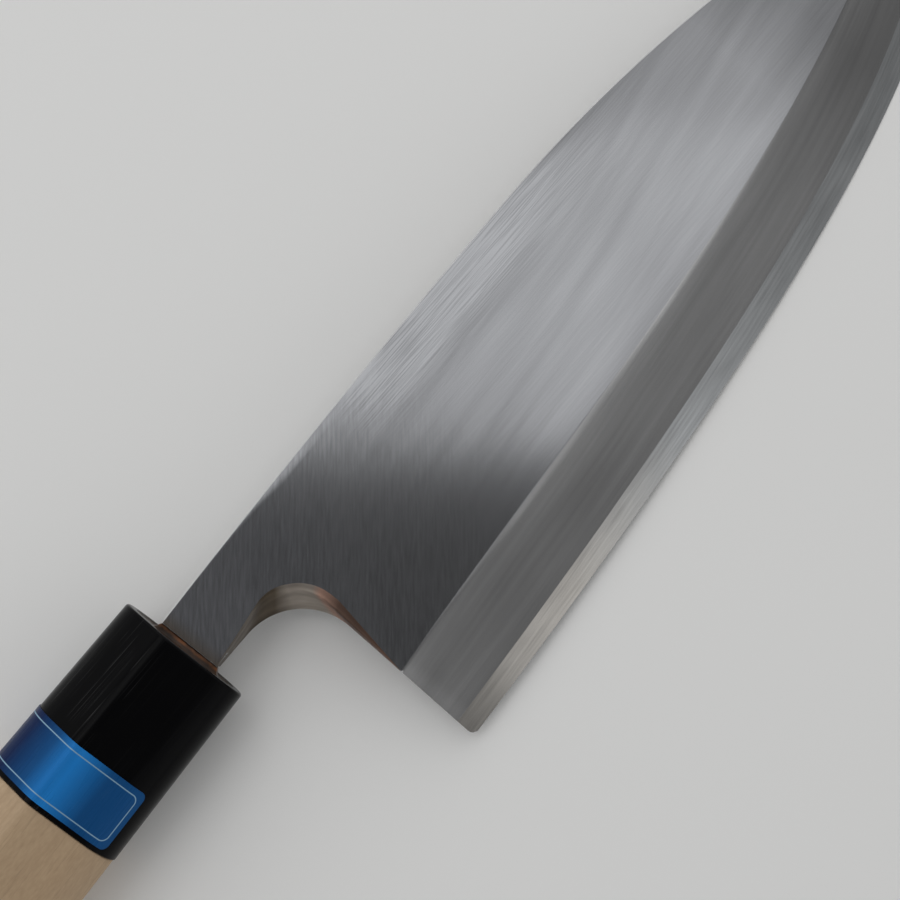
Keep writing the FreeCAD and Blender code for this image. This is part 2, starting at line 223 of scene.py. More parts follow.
class LabelSettings(bpy.types.PropertyGroup):
    """Sizes and colours of the foil label"""
    length: length("Length", 0.0116, "Length along the handle")
    setback: length("Setback", 0.00095, "Distance from the joint with the wood")
    front_margin: length("Front margin", 0.0024, "From the ferrule's edge side to the label's front end")
    back_wrap: length("Back wrap", 0.006, "From the ferrule's spine side to the label's back end")
    corner: length("Corner", 0.0013, "Radius of the corners")
    thickness: length("Thickness", 0.00015, "Thickness of the foil")
    border_inset: length("Border inset", 0.0012, "From the label's edge to the pale border line")
    border_width: length("Border width", 0.00019, "Width of the pale border line")
    # The deep blue on the spine side is painted shade; the bright blue below the ridge is a painted
    # highlight.
    shade_blue: colour("Deep blue", (0.004, 0.015, 0.070), "Blue on the spine side")
    bright: colour("Bright blue", (0.018, 0.23, 0.66), "Blue just below the ridge")
    middle: colour("Middle blue", (0.007, 0.072, 0.225), "Blue towards the front end")
    border: colour("Border", (0.26, 0.42, 0.55), "Pale border line")


class StageSettings(bpy.types.PropertyGroup):
    """Floor, light and camera"""
    floor_size: length("Floor size", 6.0, "Side of the floor")
    floor: colour("Floor", (0.90, 0.90, 0.89), "Colour of the floor")
    lens: FloatProperty(name="Lens", description="Focal length on a sensor 36 mm wide", default=80.0,
                        subtype="DISTANCE_CAMERA")


# Points and grids

def unit(ways):
    """Directions cut to a length of one."""
    return ways / np.linalg.norm(ways, axis=-1, keepdims=True)


def round_ways(angle):
    """Directions in a plane at given angles: their cosines and sines."""
    return np.stack((np.cos(angle), np.sin(angle)), axis=-1)


def running_length(points):
    """Length along a row of points from its start, as the sum of the steps between them."""
    return np.concatenate(([0.0], np.cumsum(np.linalg.norm(np.diff(points, axis=0), axis=-1))))


def between(first, last, rows):
    """Grid of straight lines from one row of points to another."""
    w = np.asarray(rows)[:, None, None]
    return first[None] * (1 - w) + last[None] * w


def end_cap(ring, rows=(0, 1)):
    """Rings that shrink evenly from an outline to its middle point."""
    return between(ring, np.broadcast_to(ring.mean(axis=0), ring.shape), rows)


def along_outline(points):
    """Place along and across a wall: running length of its rows, and running length down its columns."""
    steps = np.linalg.norm(np.diff(points, axis=1), axis=-1).mean(axis=0)
    along = np.concatenate(([0.0], np.cumsum(steps)))
    drop = np.linalg.norm(np.diff(points, axis=0), axis=-1)
    across = np.concatenate((np.zeros((1, points.shape[1])), np.cumsum(drop, axis=0)))
    return np.stack((np.broadcast_to(along, across.shape), across, np.zeros_like(across)), axis=-1)


# Shape of the blade

def spine_level(x, blade):
    """Height of the spine: a flat arch of one radius, then a tighter arc, tangent to it, down to the tip."""
    fall = blade.tip_reach - SPINE_FALL_LENGTH
    arch_centre = blade.spine_height - SPINE_ARCH_RADIUS
    arch = arch_centre + np.sqrt(SPINE_ARCH_RADIUS ** 2 - (x - SPINE_CREST) ** 2)
    lean = asin((fall - SPINE_CREST) / SPINE_ARCH_RADIUS)
    centre_x = fall - SPINE_FALL_RADIUS * sin(lean)
    centre_y = arch_centre + (SPINE_ARCH_RADIUS - SPINE_FALL_RADIUS) * cos(lean)
    return np.where(x <= fall, arch, centre_y + np.sqrt(SPINE_FALL_RADIUS ** 2 - (x - centre_x) ** 2))


def heel_point(blade):
    """Where the bevel line meets the heel."""
    return blade.heel_reach, blade.bevel_width - blade.heel_depth


def heel_line(y, blade):
    """The heel's line, which leans back towards the handle from the bevel line down to the edge."""
    return blade.heel_reach + (y + blade.heel_depth - blade.bevel_width) * tan(HEEL_LEAN)


def flat_level(x, y, blade):
    """Front plane: neck thickness at the mouth, thinner in proportion towards the tip and the edge."""
    taper = (NECK_THICKNESS - blade.tip_thickness) / blade.tip_reach
    slope = blade.face_thinning / (blade.spine_height + blade.heel_depth - blade.bevel_width)
    return BACK_LEVEL + NECK_THICKNESS - taper * x - slope * (blade.spine_height - y)


def cubic(start, start_way, end, end_way, t):
    """Cubic curve between two points, whose inner poles lie along the given slopes at shares of the chord."""
    start, end = np.array(start), np.array(end)
    chord = np.linalg.norm(end - start)
    ways = [np.array((cos(radians(angle)), sin(radians(angle)))) * chord * pull
            for angle, pull in (start_way, end_way)]
    poles = np.array((start, start + ways[0], end - ways[1], end))
    weights = np.stack(((1 - t) ** 3, 3 * t * (1 - t) ** 2, 3 * t ** 2 * (1 - t), t ** 3), axis=-1)
    return weights @ poles


def blade_curves(t, blade):
    """Edge, top of the edge band and bevel line as points at the same parameter."""
    edge = cubic((heel_line(-blade.heel_depth, blade), -blade.heel_depth), EDGE_HEEL,
                 (blade.tip_reach, float(spine_level(blade.tip_reach, blade))), EDGE_TIP, t)
    meet = blade.tip_reach - BEVEL_RUN_OUT
    bevel = cubic(heel_point(blade), BEVEL_HEEL, (meet, float(spine_level(meet, blade))), BEVEL_TIP, t)
    top = flat_level(bevel[..., 0], bevel[..., 1], blade)
    rise = blade.band_width * tan(BAND_ANGLE) / (flat_level(*heel_point(blade), blade) - BACK_LEVEL)
    band = edge + (bevel - edge) * blade.band_width / blade.bevel_width
    levels = np.full(t.shape, BACK_LEVEL), BACK_LEVEL + rise * (top - BACK_LEVEL), top
    return [np.concatenate((plan, level[..., None]), axis=-1)
            for plan, level in zip((edge, band, bevel), levels)]


def notch_outline(q, level, blade):
    """Outline under the neck at given levels.

    It is the neck (q 0 to 1), a corner arc (1 to 2) and the heel down to the bevel (2 to 3). The arc is
    tighter and its corner lies further out and up towards the front face.
    """
    up = (level - BACK_LEVEL) / NECK_THICKNESS
    radius = NOTCH_BACK_RADIUS + (NOTCH_FRONT_RADIUS - NOTCH_BACK_RADIUS) * up
    corner_y = -blade.neck_depth - NECK_FALL
    corner = np.array((heel_line(corner_y, blade), corner_y)) + NOTCH_FRONT_SHIFT * up[:, None]
    bevel_end = np.array(heel_point(blade))
    to_neck = unit(np.array((NECK_START, -blade.neck_depth)) - corner)
    to_heel = unit(bevel_end - corner)
    half = np.arccos(np.sum(to_neck * to_heel, axis=-1)) / 2
    reach = (radius / np.tan(half))[:, None]
    neck_end, heel_start = corner + to_neck * reach, corner + to_heel * reach
    centre = corner + unit(to_neck + to_heel) * (radius / np.sin(half))[:, None]
    first, last = (np.arctan2(*(end - centre).T[::-1]) for end in (neck_end, heel_start))
    arc = centre + round_ways(first + (last - first) * np.clip(q - 1, 0, 1)) * radius[:, None]
    neck_start = neck_end + to_neck * ((neck_end[:, 0] - SHOULDER) / -to_neck[:, 0])[:, None]
    neck = neck_start + (neck_end - neck_start) * np.clip(q, 0, 1)[:, None]
    heel = heel_start + (bevel_end - heel_start) * np.clip(q - 2, 0, 1)[:, None]
    return np.where((q < 1)[:, None], neck, np.where((q > 2)[:, None], heel, arc))


def hollow_depth(x, y, blade):
    """Hollow of the back: arcs of the wheel's radius across the blade, narrower near both ends."""
    edge = blade_curves(np.linspace(0, 1, 400), blade)[0]
    start, end = blade.heel_reach + HEEL_RIM, blade.tip_reach - TIP_RIM
    station = np.clip((2 * x - start - end) / (end - start), -1, 1)
    top = spine_level(x, blade) - SPINE_RIM
    bottom = np.interp(x, edge[:, 0], edge[:, 1]) + EDGE_RIM
    half = (top - bottom) / 2 * np.sqrt(1 - station ** 6)
    away = np.minimum(np.abs(y - (top + bottom) / 2), half)
    return np.sqrt(blade.wheel_radius ** 2 - away ** 2) - np.sqrt(blade.wheel_radius ** 2 - half ** 2)


def into_blade(outline):
    """Directions level with the back, square to an outline."""
    way = unit(np.gradient(outline[:, :2], axis=0))
    return np.column_stack((-way[:, 1], way[:, 0], np.zeros(len(way))))


def on_front(ways, blade):
    """Level directions tilted to lie in the front plane."""
    tilt = flat_level(ways[:, 0], ways[:, 1], blade) - flat_level(0.0, 0.0, blade)
    return np.column_stack((ways[:, :2], tilt))


def at_back(points):
    """Points carried down to the back's level."""
    return np.column_stack((points[:, :2], np.full(len(points), BACK_LEVEL)))


def rounded_wall(front, front_in, back, back_in, front_radius, back_radius):
    """Wall between two outlines, its corners rounded by quadratic curves whose middle pole is the corner.

    Each takes up a given share of the wall's height at most.
    """
    down = back - front
    height = np.linalg.norm(down, axis=-1, keepdims=True)
    down = down / np.maximum(height, TINY)
    u = np.linspace(0, 1, ROUNDING_ROWS)[:, None, None]
    front_radius = np.minimum(front_radius[:, None], height * FRONT_SHARE)
    back_radius = np.minimum(back_radius[:, None], height * BACK_SHARE)
    front_face, front_wall = front + front_in * front_radius, front + down * front_radius
    back_face, back_wall = back + back_in * back_radius, back - down * back_radius
    upper = (1 - u) ** 2 * front_face + 2 * u * (1 - u) * front + u ** 2 * front_wall
    lower = (1 - u) ** 2 * back_wall + 2 * u * (1 - u) * back + u ** 2 * back_face
    return np.concatenate((upper, between(front_wall, back_wall, (1 / 3, 2 / 3)), lower))


def heel_cut(y, blade):
    """Cut of the blunted corner into the heel at given heights: an arc, then a line tangent to it."""
    fall = np.clip(HEEL_CORNER - blade.heel_depth - y, 0, None) / cos(HEEL_LEAN)
    arc_fall = np.minimum(fall, HEEL_CORNER * sin(HEEL_CORNER_TURN))
    return HEEL_CORNER - np.sqrt(HEEL_CORNER ** 2 - arc_fall ** 2) + (fall - arc_fall) * tan(HEEL_CORNER_TURN)


def ground_faces(blade):
    """Bevel line, bevel with the shares of its rows, and edge band with the shares of its rows."""
    t = np.linspace(0, 1, blade.stations)
    edge, band, bevel = blade_curves(t, blade)

    # The bevel line is crisp by the heel and softer further up: the first row lies further from it there.
    ease = LINE_EASE + LINE_EASE_GAIN * np.clip((t - LINE_EASE_START) / LINE_EASE_RUN, 0, 1)
    rows = np.linspace(0, 1, BEVEL_ROWS)[:, None]
    bevel_rows = np.concatenate((np.zeros((1, len(t))), ease + (1 - ease) * rows))
    kireha = bevel + (band - bevel) * bevel_rows[..., None]
    fade = np.clip((1 - t) * BEVEL_HOLLOW_FADE, 0, 1)
    kireha[..., 2] -= blade.bevel_hollow * 4 * bevel_rows * (1 - bevel_rows) * fade

    # Each row of the band starts where the heel's blunted corner crosses its height.
    band_rows = np.linspace(0, 1, BAND_ROWS)
    cut = heel_cut(band[0, 1] + (edge[0, 1] - band[0, 1]) * band_rows, blade)
    start = cut / ((edge[1, 0] - edge[0, 0]) / (t[1] - t[0]))
    row_edge, row_band = blade_curves(start[:, None] + (1 - start)[:, None] * t, blade)[:2]
    koba = row_band + (row_edge - row_band) * band_rows[:, None, None]
    return bevel, kireha, bevel_rows, koba, band_rows


def blade_patches(blade):
    """Grids of the whole blade, each with its finish and its places along and across that finish's lines.

    Hira is the flat, kireha the bevel, koba the edge band and ura the back.
    """
    bevel, kireha, bevel_rows, koba, band_rows = ground_faces(blade)

    # Outline of the neck, the notch and the heel, on the front face and on the back
    q = np.concatenate((np.linspace(0, 1, NECK_COLUMNS)[:-1], np.linspace(1, 2, ARC_COLUMNS)[:-1],
                        np.linspace(2, 3, HEEL_COLUMNS)))
    level = np.full(q.shape, -BACK_LEVEL)
    for _ in range(5):
        plan = notch_outline(q, level, blade)
        level = flat_level(plan[:, 0], plan[:, 1], blade)
    front = np.column_stack((plan, level))
    back = at_back(notch_outline(q, np.full(q.shape, BACK_LEVEL), blade))
    soft = np.interp(q, *NOTCH_SOFTNESS) * blade.notch_rounding
    crisp = np.interp(q, (0, 2.9, 3), (BACK_ROUNDING, BACK_ROUNDING, 0))
    notch_wall = rounded_wall(front, on_front(into_blade(front), blade), back, into_blade(back), soft, crisp)

    # Spine, over as many stations as the outline below it. Columns of the flat lean, so as not to cross.
    bevel_x = bevel[1:, 0]
    above = front[:, 0] + np.interp(q, *COLUMN_LEAN)
    share = (bevel_x - blade.heel_reach) / (bevel_x[-1] - blade.heel_reach)
    spine_x = np.concatenate((above, above[-1] + (bevel_x[-1] - above[-1]) * share))
    spine_y = spine_level(spine_x, blade)
    spine = np.column_stack((spine_x, spine_y, flat_level(spine_x, spine_y, blade)))
    spine_in = -into_blade(spine)
    easing = blade.spine_rounding * np.clip((bevel_x[-1] - spine_x) / SPINE_EASE_LENGTH, 0, 1)
    spine_wall = rounded_wall(spine, on_front(spine_in, blade), at_back(spine), spine_in, easing,
                              easing * SPINE_BACK_SHARE)

    heel_end, tip_end = (np.concatenate((kireha[:, end], koba[1:, end])) for end in (0, -1))
    heel_wall, tip_wall = (between(end, at_back(end), (0, 1 / 3, 2 / 3, 1)) for end in (heel_end, tip_end))
    hira_low = np.concatenate((notch_wall[0], bevel[1:]))
    hira = between(spine_wall[0], hira_low, np.append(np.linspace(0, LAST_FLAT_ROW, FLAT_ROWS), 1))
    back_low = np.concatenate((notch_wall[-1], at_back(heel_end[1:]), koba[-1, 1:]))
    back_top = np.concatenate((spine_wall[-1], at_back(tip_end[1:])))
    ura = between(back_top, back_low, np.linspace(0, 1, BACK_ROWS))
    ura[..., 2] += hollow_depth(ura[..., 0], ura[..., 1], blade)
    ring = np.concatenate((hira[:, 0], notch_wall[1:, 0], ura[-2::-1, 0], spine_wall[-2::-1, 0]))

    def along_blade(points, across):
        return np.stack((points[..., 0], np.broadcast_to(across, points.shape[:2]), points[..., 2]), axis=-1)

    hira_place, notch_place = hira.copy(), along_outline(notch_wall)
    hira_place[..., 2] = spine_level(hira[..., 0], blade) - hira[..., 1]
    notch_place[..., 2] = q / 3
    return [(hira, FLAT, hira_place),
            (kireha, BEVEL, along_blade(kireha, bevel_rows * blade.bevel_width)),
            (koba, BAND, along_blade(koba, band_rows[:, None] * blade.band_width)),
            *walls(spine_wall, heel_wall, tip_wall, end_cap(ring)),
            (ura, BACK, ura),
            (notch_wall, NOTCH, notch_place),
            *tang_patches(blade)]


def walls(*grids):
    """Grids with the walls' finish, placed along their outlines."""
    return [(grid, WALL, along_outline(grid)) for grid in grids]


def tang_corners(x, blade):
    """Four corners of the tang at each station: the neck's section, a step smaller, narrowing evenly."""
    part = np.clip((SHOULDER - x) / (SHOULDER - TANG_END), 0, 1)
    start = (TANG_STEP - blade.neck_depth, float(spine_level(SHOULDER, blade)) - TANG_STEP,
             BACK_LEVEL + TANG_STEP, flat_level(SHOULDER, -blade.neck_depth, blade) - TANG_STEP)
    half_y, half_z = TANG_END_HALF
    end = (-half_y, half_y, -half_z, half_z)
    low_y, high_y, low_z, high_z = (a + part * (b - a) for a, b in zip(start, end))
    ys = np.stack((low_y, high_y, high_y, low_y), axis=-1)
    zs = np.stack((low_z, low_z, high_z, high_z), axis=-1)
    return np.stack((np.broadcast_to(x[:, None], ys.shape), ys, zs), axis=-1)


def tang_patches(blade):
    """The tang: its four sides from inside the neck to its end, and both ends closed."""
    rings = tang_corners(np.linspace(TANG_START, TANG_END, TANG_ROWS), blade)
    sides = np.concatenate((rings, rings[:, :1]), axis=1)
    return walls(sides, end_cap(sides[0]), end_cap(sides[-1]))


# Shape of the handle

def section_at_mouth(handle):
    """Handle's section at the mouth: points and outward directions in Y and Z, and the running length.

    Two equal arcs on the spine side and the edge side, a wide arc at the back tangent to both, and two
    flats that leave the equal arcs as tangents and meet at a rounded ridge on the front.
    """
    lift = handle.mouth_height / 2 - ROUND_RADIUS
    back_centre = sqrt((BACK_RADIUS - ROUND_RADIUS) ** 2 - lift ** 2)
    lean = atan2(back_centre, lift)
    ridge = np.array((RIDGE_OFFSET, RIDGE_HEIGHT))
    to_upper, to_lower = ridge - (lift, 0), ridge + (lift, 0)
    upper = atan2(to_upper[1], to_upper[0]) - acos(ROUND_RADIUS / np.linalg.norm(to_upper))
    lower = atan2(to_lower[1], to_lower[0]) + acos(ROUND_RADIUS / np.linalg.norm(to_lower))
    ridge_centre = ridge - round_ways((upper + lower) / 2) * RIDGE_RADIUS / cos((lower - upper) / 2)
    arcs = (((0, back_centre), BACK_RADIUS, 1.5 * pi, 2 * pi - lean, 20),
            ((lift, 0), ROUND_RADIUS, -lean, upper, 44),
            (ridge_centre, RIDGE_RADIUS, upper, lower, 20),
            ((-lift, 0), ROUND_RADIUS, lower, pi + lean, 52),
            ((0, back_centre), BACK_RADIUS, pi + lean, 1.5 * pi, 20))
    points, normals = [], []
    for centre, radius, first, last, count in arcs:
        normals.append(round_ways(np.linspace(first, last, count)))
        points.append(np.array(centre) + normals[-1] * radius)
    # The two flats are filled with samples between the arcs that they join.
    w = np.linspace(0, 1, 12)[1:-1, None]
    for place in (3, 2):
        points.insert(place, points[place - 1][-1] * (1 - w) + points[place][0] * w)
        normals.insert(place, np.repeat(normals[place][:1], len(w), axis=0))
    points, normals = np.concatenate(points), np.concatenate(normals)
    keep = np.concatenate(([True], np.linalg.norm(np.diff(points, axis=0), axis=-1) > SAME_POINT))
    return points[keep], normals[keep], running_length(points[keep])


def straight(start, end, inset, count):
    """Profile along a drafted side: places from start to end, all at one inset."""
    return np.column_stack((np.linspace(start, end, count), np.full(count, inset)))


def round_section(path, section, handle):
    """Profile carried round the section.

    Each pair of the path is a place along X and an inset from the drafted side.
    """
    points, normals, run = section
    path = np.asarray(path)
    growth = -path[:, 0] * tan(handle.draft) - path[:, 1]
    plan = points[None] + normals[None] * growth[:, None, None]
    grid = np.concatenate((np.broadcast_to(path[:, :1, None], plan.shape[:2] + (1,)), plan), axis=-1)
    place = np.stack((grid[..., 0], np.broadcast_to(run, grid.shape[:2]), np.zeros(grid.shape[:2])), axis=-1)
    return grid, place


def label_patches(handle, label):
    """The label's outer and inner skin with the rims between them, and its span round the ferrule.

    It follows the section from a place on the back to one on the front. Near both ends its sides draw in
    by the corners' circle.
    """
    points, normals, _ = section_at_mouth(handle)
    middle = label.setback - handle.ferrule_length + label.length / 2
    growth = -middle * tan(handle.draft)
    outline = points + normals * growth
    run = running_length(outline)
    half = handle.mouth_height / 2 + growth
    back_part = (outline[:, 1] < 0) & (run < run[-1] / 2)
    front_part = (outline[:, 1] > 0) & (outline[:, 0] < 0)
    start = np.interp(half - label.back_wrap, outline[back_part, 0], run[back_part])
    stop = np.interp(half - label.front_margin, -outline[front_part, 0], run[front_part])
    span = stop - start
    corner = label.corner * (1 - np.cos(np.linspace(0, pi / 2, 10)))
    straight_part = np.linspace(label.corner, span - label.corner, 110)[1:-1]
    ease = np.concatenate((corner, straight_part, span - corner[::-1]))
    near_end = np.clip(label.corner - np.minimum(ease, span - ease), 0, None)
    pinch = label.corner - np.sqrt(label.corner ** 2 - near_end ** 2)
    x = middle + np.linspace(-1, 1, 25)[:, None] * (label.length / 2 - pinch)
    base, way = (np.stack([np.interp(start + ease, run, rows[:, k]) for k in (0, 1)], axis=-1)
                 for rows in (points, normals))

    def skin(lift):
        plan = base[None] + way[None] * (lift - x * tan(handle.draft))[..., None]
        return np.concatenate((x[..., None], plan), axis=-1)

    place = np.stack((x - middle, np.broadcast_to(span / 2 - ease, x.shape), np.zeros(x.shape)), axis=-1)
    outer, inner = skin(LABEL_GAP + label.thickness), skin(LABEL_GAP)
    patches = [(outer, 0, place), (inner, 0, place)]
    for pick in (np.s_[0], np.s_[-1], np.s_[:, 0], np.s_[:, -1]):
        patches.append((np.stack((outer[pick], inner[pick])), 0, np.stack((place[pick], place[pick]))))
    return patches, span


def seal_patch(handle, blade):
    """The seal's grid: its top rises by the tang and, less, by the wall.

    Both fall off as exp(-(distance / reach)^2). Slight ripples lie between them.
    """
    points, normals, run = section_at_mouth(handle)
    corners = tang_corners(np.array((SEAL_TANG_PLACE,)), blade)[0, :, 1:]
    angle = np.arctan2(points[:, 1], points[:, 0])
    way = round_ways(angle)
    middle, half = (corners[0] + corners[2]) / 2, (corners[2] - corners[0]) / 2
    inner = middle + way * np.min(half / np.maximum(np.abs(way), TINY), axis=-1, keepdims=True)
    outer = points - normals * (handle.ferrule_wall + SEAL_GAP)
    w = np.concatenate(((0.0, 0.02, 0.05, 0.09, 0.14), np.linspace(0.2, 1, 14)))
    gap = np.linalg.norm(outer - inner, axis=-1)
    distance = w[:, None] * gap
    by_tang = TANG_RISE * np.exp(-(distance / TANG_RISE_REACH) ** 2)
    by_wall = WALL_RISE * np.exp(-((gap - distance) / WALL_RISE_REACH) ** 2)
    ripple = sum(rise * np.sin(waves * angle + phase) for rise, waves, phase in SEAL_RIPPLES)
    height = SEAL_LEVEL + by_tang + by_wall + ripple * np.sin(pi * np.clip(w, 0, 1))[:, None]
    plan = inner + (outer - inner) * w[:, None, None]
    top = np.concatenate((height[..., None], plan), axis=-1)
    floor = top[::-1].copy()
    floor[..., 0] = SEAL_FLOOR
    grid = np.concatenate((top, floor, top[:1]))
    beside = np.concatenate((distance, distance[::-1], distance[:1]))
    place = np.stack((np.broadcast_to(run, grid.shape[:2]), beside, np.zeros(grid.shape[:2])), axis=-1)
    return grid, 0, place


# Meshes

def weld(patches):
    """Joins grids into one mesh's arrays.

    Points that coincide become one, and a quad that loses a corner becomes a triangle.
    """
    points, quads, finish, place = [], [], [], []
    start = 0
    for grid, number, where in patches:
        rows, columns = grid.shape[:2]
        index = start + np.arange(rows * columns).reshape(rows, columns)
        quad = np.stack((index[:-1, :-1], index[1:, :-1], index[1:, 1:], index[:-1, 1:]), axis=-1)
        quad = quad.reshape(-1, 4)
        points.append(grid.reshape(-1, 3))
        place.append(np.asarray(where).reshape(-1, 3))
        quads.append(quad)
        finish.append(np.full(len(quad), number))
        start += rows * columns
    points, quads, finish, place = (np.concatenate(parts) for parts in (points, quads, finish, place))
    steps = np.round(points * WELD_STEPS).astype(np.int64)
    _, first, merged = np.unique(steps, axis=0, return_index=True, return_inverse=True)
    corners = merged.reshape(-1)[quads]
    keep = corners != np.roll(corners, 1, axis=1)
    open_quad = (corners[:, 0] != corners[:, 2]) & (corners[:, 1] != corners[:, 3])
    keep &= ((keep.sum(axis=1) > 2) & open_quad)[:, None]
    used = keep.any(axis=1)
    return points[first], corners[keep], keep[used].sum(axis=1), finish[used], place[quads[keep]]


def make_piece(name, patches, materials, node, crease=()):
    """Mesh of the welded grids, set on the solids' frame, that rides on the knife and replaces one node.

    Its edges are sharp where the surface turns by more than 30 degrees, and where the two finishes of a
    crease meet.
    """
    points, corners, counts, finish, place = weld(patches)
    mesh = bpy.data.meshes.new(name)
    mesh.vertices.add(len(points))
    mesh.vertices.foreach_set("co", (points + MOUTH).astype(np.float32).ravel())
    mesh.loops.add(len(corners))
    mesh.loops.foreach_set("vertex_index", corners.astype(np.int32))
    mesh.polygons.add(len(counts))
    mesh.polygons.foreach_set("loop_start", np.concatenate(([0], np.cumsum(counts)[:-1])).astype(np.int32))
    mesh.polygons.foreach_set("material_index", finish.astype(np.int32))
    mesh.update(calc_edges=True)
    grind = mesh.attributes.new("grind", "FLOAT_VECTOR", "CORNER")
    grind.data.foreach_set("vector", place.astype(np.float32).ravel())

    edge_of = np.empty(len(corners), np.int32)
    mesh.loops.foreach_get("edge_index", edge_of)
    if np.any(np.bincount(edge_of, minlength=len(mesh.edges)) != 2):
        raise RuntimeError(name + " is not closed")
    shell = bmesh.new()
    shell.from_mesh(mesh)
    bmesh.ops.recalc_face_normals(shell, faces=shell.faces)
    shell.to_mesh(mesh)
    shell.free()
    mesh.polygons.foreach_set("use_smooth", np.ones(len(mesh.polygons), bool))

    mesh.loops.foreach_get("edge_index", edge_of)
    pairs = np.repeat(np.arange(len(counts)), counts)[np.argsort(edge_of, kind="stable")].reshape(-1, 2)
    normals = np.empty(len(counts) * 3, np.float32)
    mesh.polygons.foreach_get("normal", normals)
    normals = normals.reshape(-1, 3)[pairs]
    turned = np.sum(normals[:, 0] * normals[:, 1], axis=-1) < cos(SHARP_TURN)
    turned |= np.all(np.isin(finish[pairs], crease), axis=1) & (np.diff(finish[pairs], axis=1)[:, 0] != 0)
    sharp = mesh.attributes.new("sharp_edge", "BOOLEAN", "EDGE")
    sharp.data.foreach_set("value", turned)
    for material in materials:
        mesh.materials.append(material)
    piece = bpy.data.objects.new(name, mesh)
    bpy.context.scene.collection.objects.link(piece)
    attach(piece, BODY)
    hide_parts(node)
    return piece


# Nodes

def set_inputs(tree, node, inputs):
    """Sets a node's inputs to values, or links them to other nodes' sockets."""
    for key, value in inputs.items():
        if isinstance(value, bpy.types.NodeSocket):
            tree.links.new(value, node.inputs[key])
        else:
            node.inputs[key].default_value = value


def add_node(tree, kind, inputs=None, **settings):
    """Node with its settings and inputs."""
    node = tree.nodes.new(kind)
    for key, value in settings.items():
        setattr(node, key, value)
    set_inputs(tree, node, inputs or {})
    return node


def maths(tree, operation, *values):
    """Result of a maths operation on values or sockets."""
    return add_node(tree, "ShaderNodeMath", dict(enumerate(values)), operation=operation).outputs[0]


def mapped(tree, value, low, high, to_low=0.0, to_high=1.0, **settings):
    """Value carried from one range to another, held at the ends."""
    inputs = {"Value": value, "From Min": low, "From Max": high, "To Min": to_low, "To Max": to_high}
    return add_node(tree, "ShaderNodeMapRange", inputs, **settings).outputs["Result"]


def blended(tree, factor, first, last):
    """Colour between two colours or colour sockets."""
    node = add_node(tree, "ShaderNodeMix", {"Factor": factor}, data_type="RGBA")
    colours = [number for number, socket in enumerate(node.inputs) if socket.type == "RGBA"]
    ends = (value if isinstance(value, bpy.types.NodeSocket) else (*value, 1.0) for value in (first, last))
    set_inputs(tree, node, dict(zip(colours, ends)))
    return next(socket for socket in node.outputs if socket.type == "RGBA")


def noise(tree, place, scale=1.0, detail=2.0, rough=0.5):
    """Cloudy value from 0 to 1 at a place."""
    inputs = {"Vector": place, "Scale": scale, "Detail": detail, "Roughness": rough}
    return add_node(tree, "ShaderNodeTexNoise", inputs).outputs["Fac"]


def combined(tree, x, y, z=0.0):
    """Place put together from its parts."""
    return add_node(tree, "ShaderNodeCombineXYZ", {"X": x, "Y": y, "Z": z}).outputs["Vector"]


def stretched(tree, place, *scale, **inputs):
    """Place times a scale on each axis."""
    return add_node(tree, "ShaderNodeMapping", {"Vector": place, "Scale": scale, **inputs}).outputs["Vector"]


def raised(tree, height, strength, depth):
    """Normal of a surface whose lines or grain stand up by a depth."""
    inputs = {"Height": height, "Strength": strength, "Distance": depth}
    return add_node(tree, "ShaderNodeBump", inputs).outputs["Normal"]


def scaled(tree, tint, factor):
    """Colour or colour socket times a value."""
    inputs = {0: tint, "Scale": factor}
    return add_node(tree, "ShaderNodeVectorMath", inputs, operation="SCALE").outputs["Vector"]


def weighted(tree, *pairs):
    """Sum of values, each times its weight."""
    total = maths(tree, "MULTIPLY", *pairs[0])
    for value, weight in pairs[1:]:
        total = maths(tree, "MULTIPLY_ADD", value, weight, total)
    return total


def colour_along(tree, value, stops):
    """Colour that follows a value from 0 to 1 through given stops."""
    ramp = add_node(tree, "ShaderNodeValToRGB", {"Fac": value})
    ends = ramp.color_ramp.elements
    for stop, (position, tint) in zip((ends[0], ends[1]), (stops[0], stops[-1])):
        stop.position, stop.color = position, (*tint, 1.0)
    for position, tint in stops[1:-1]:
        ends.new(position).color = (*tint, 1.0)
    return ramp.outputs["Color"]


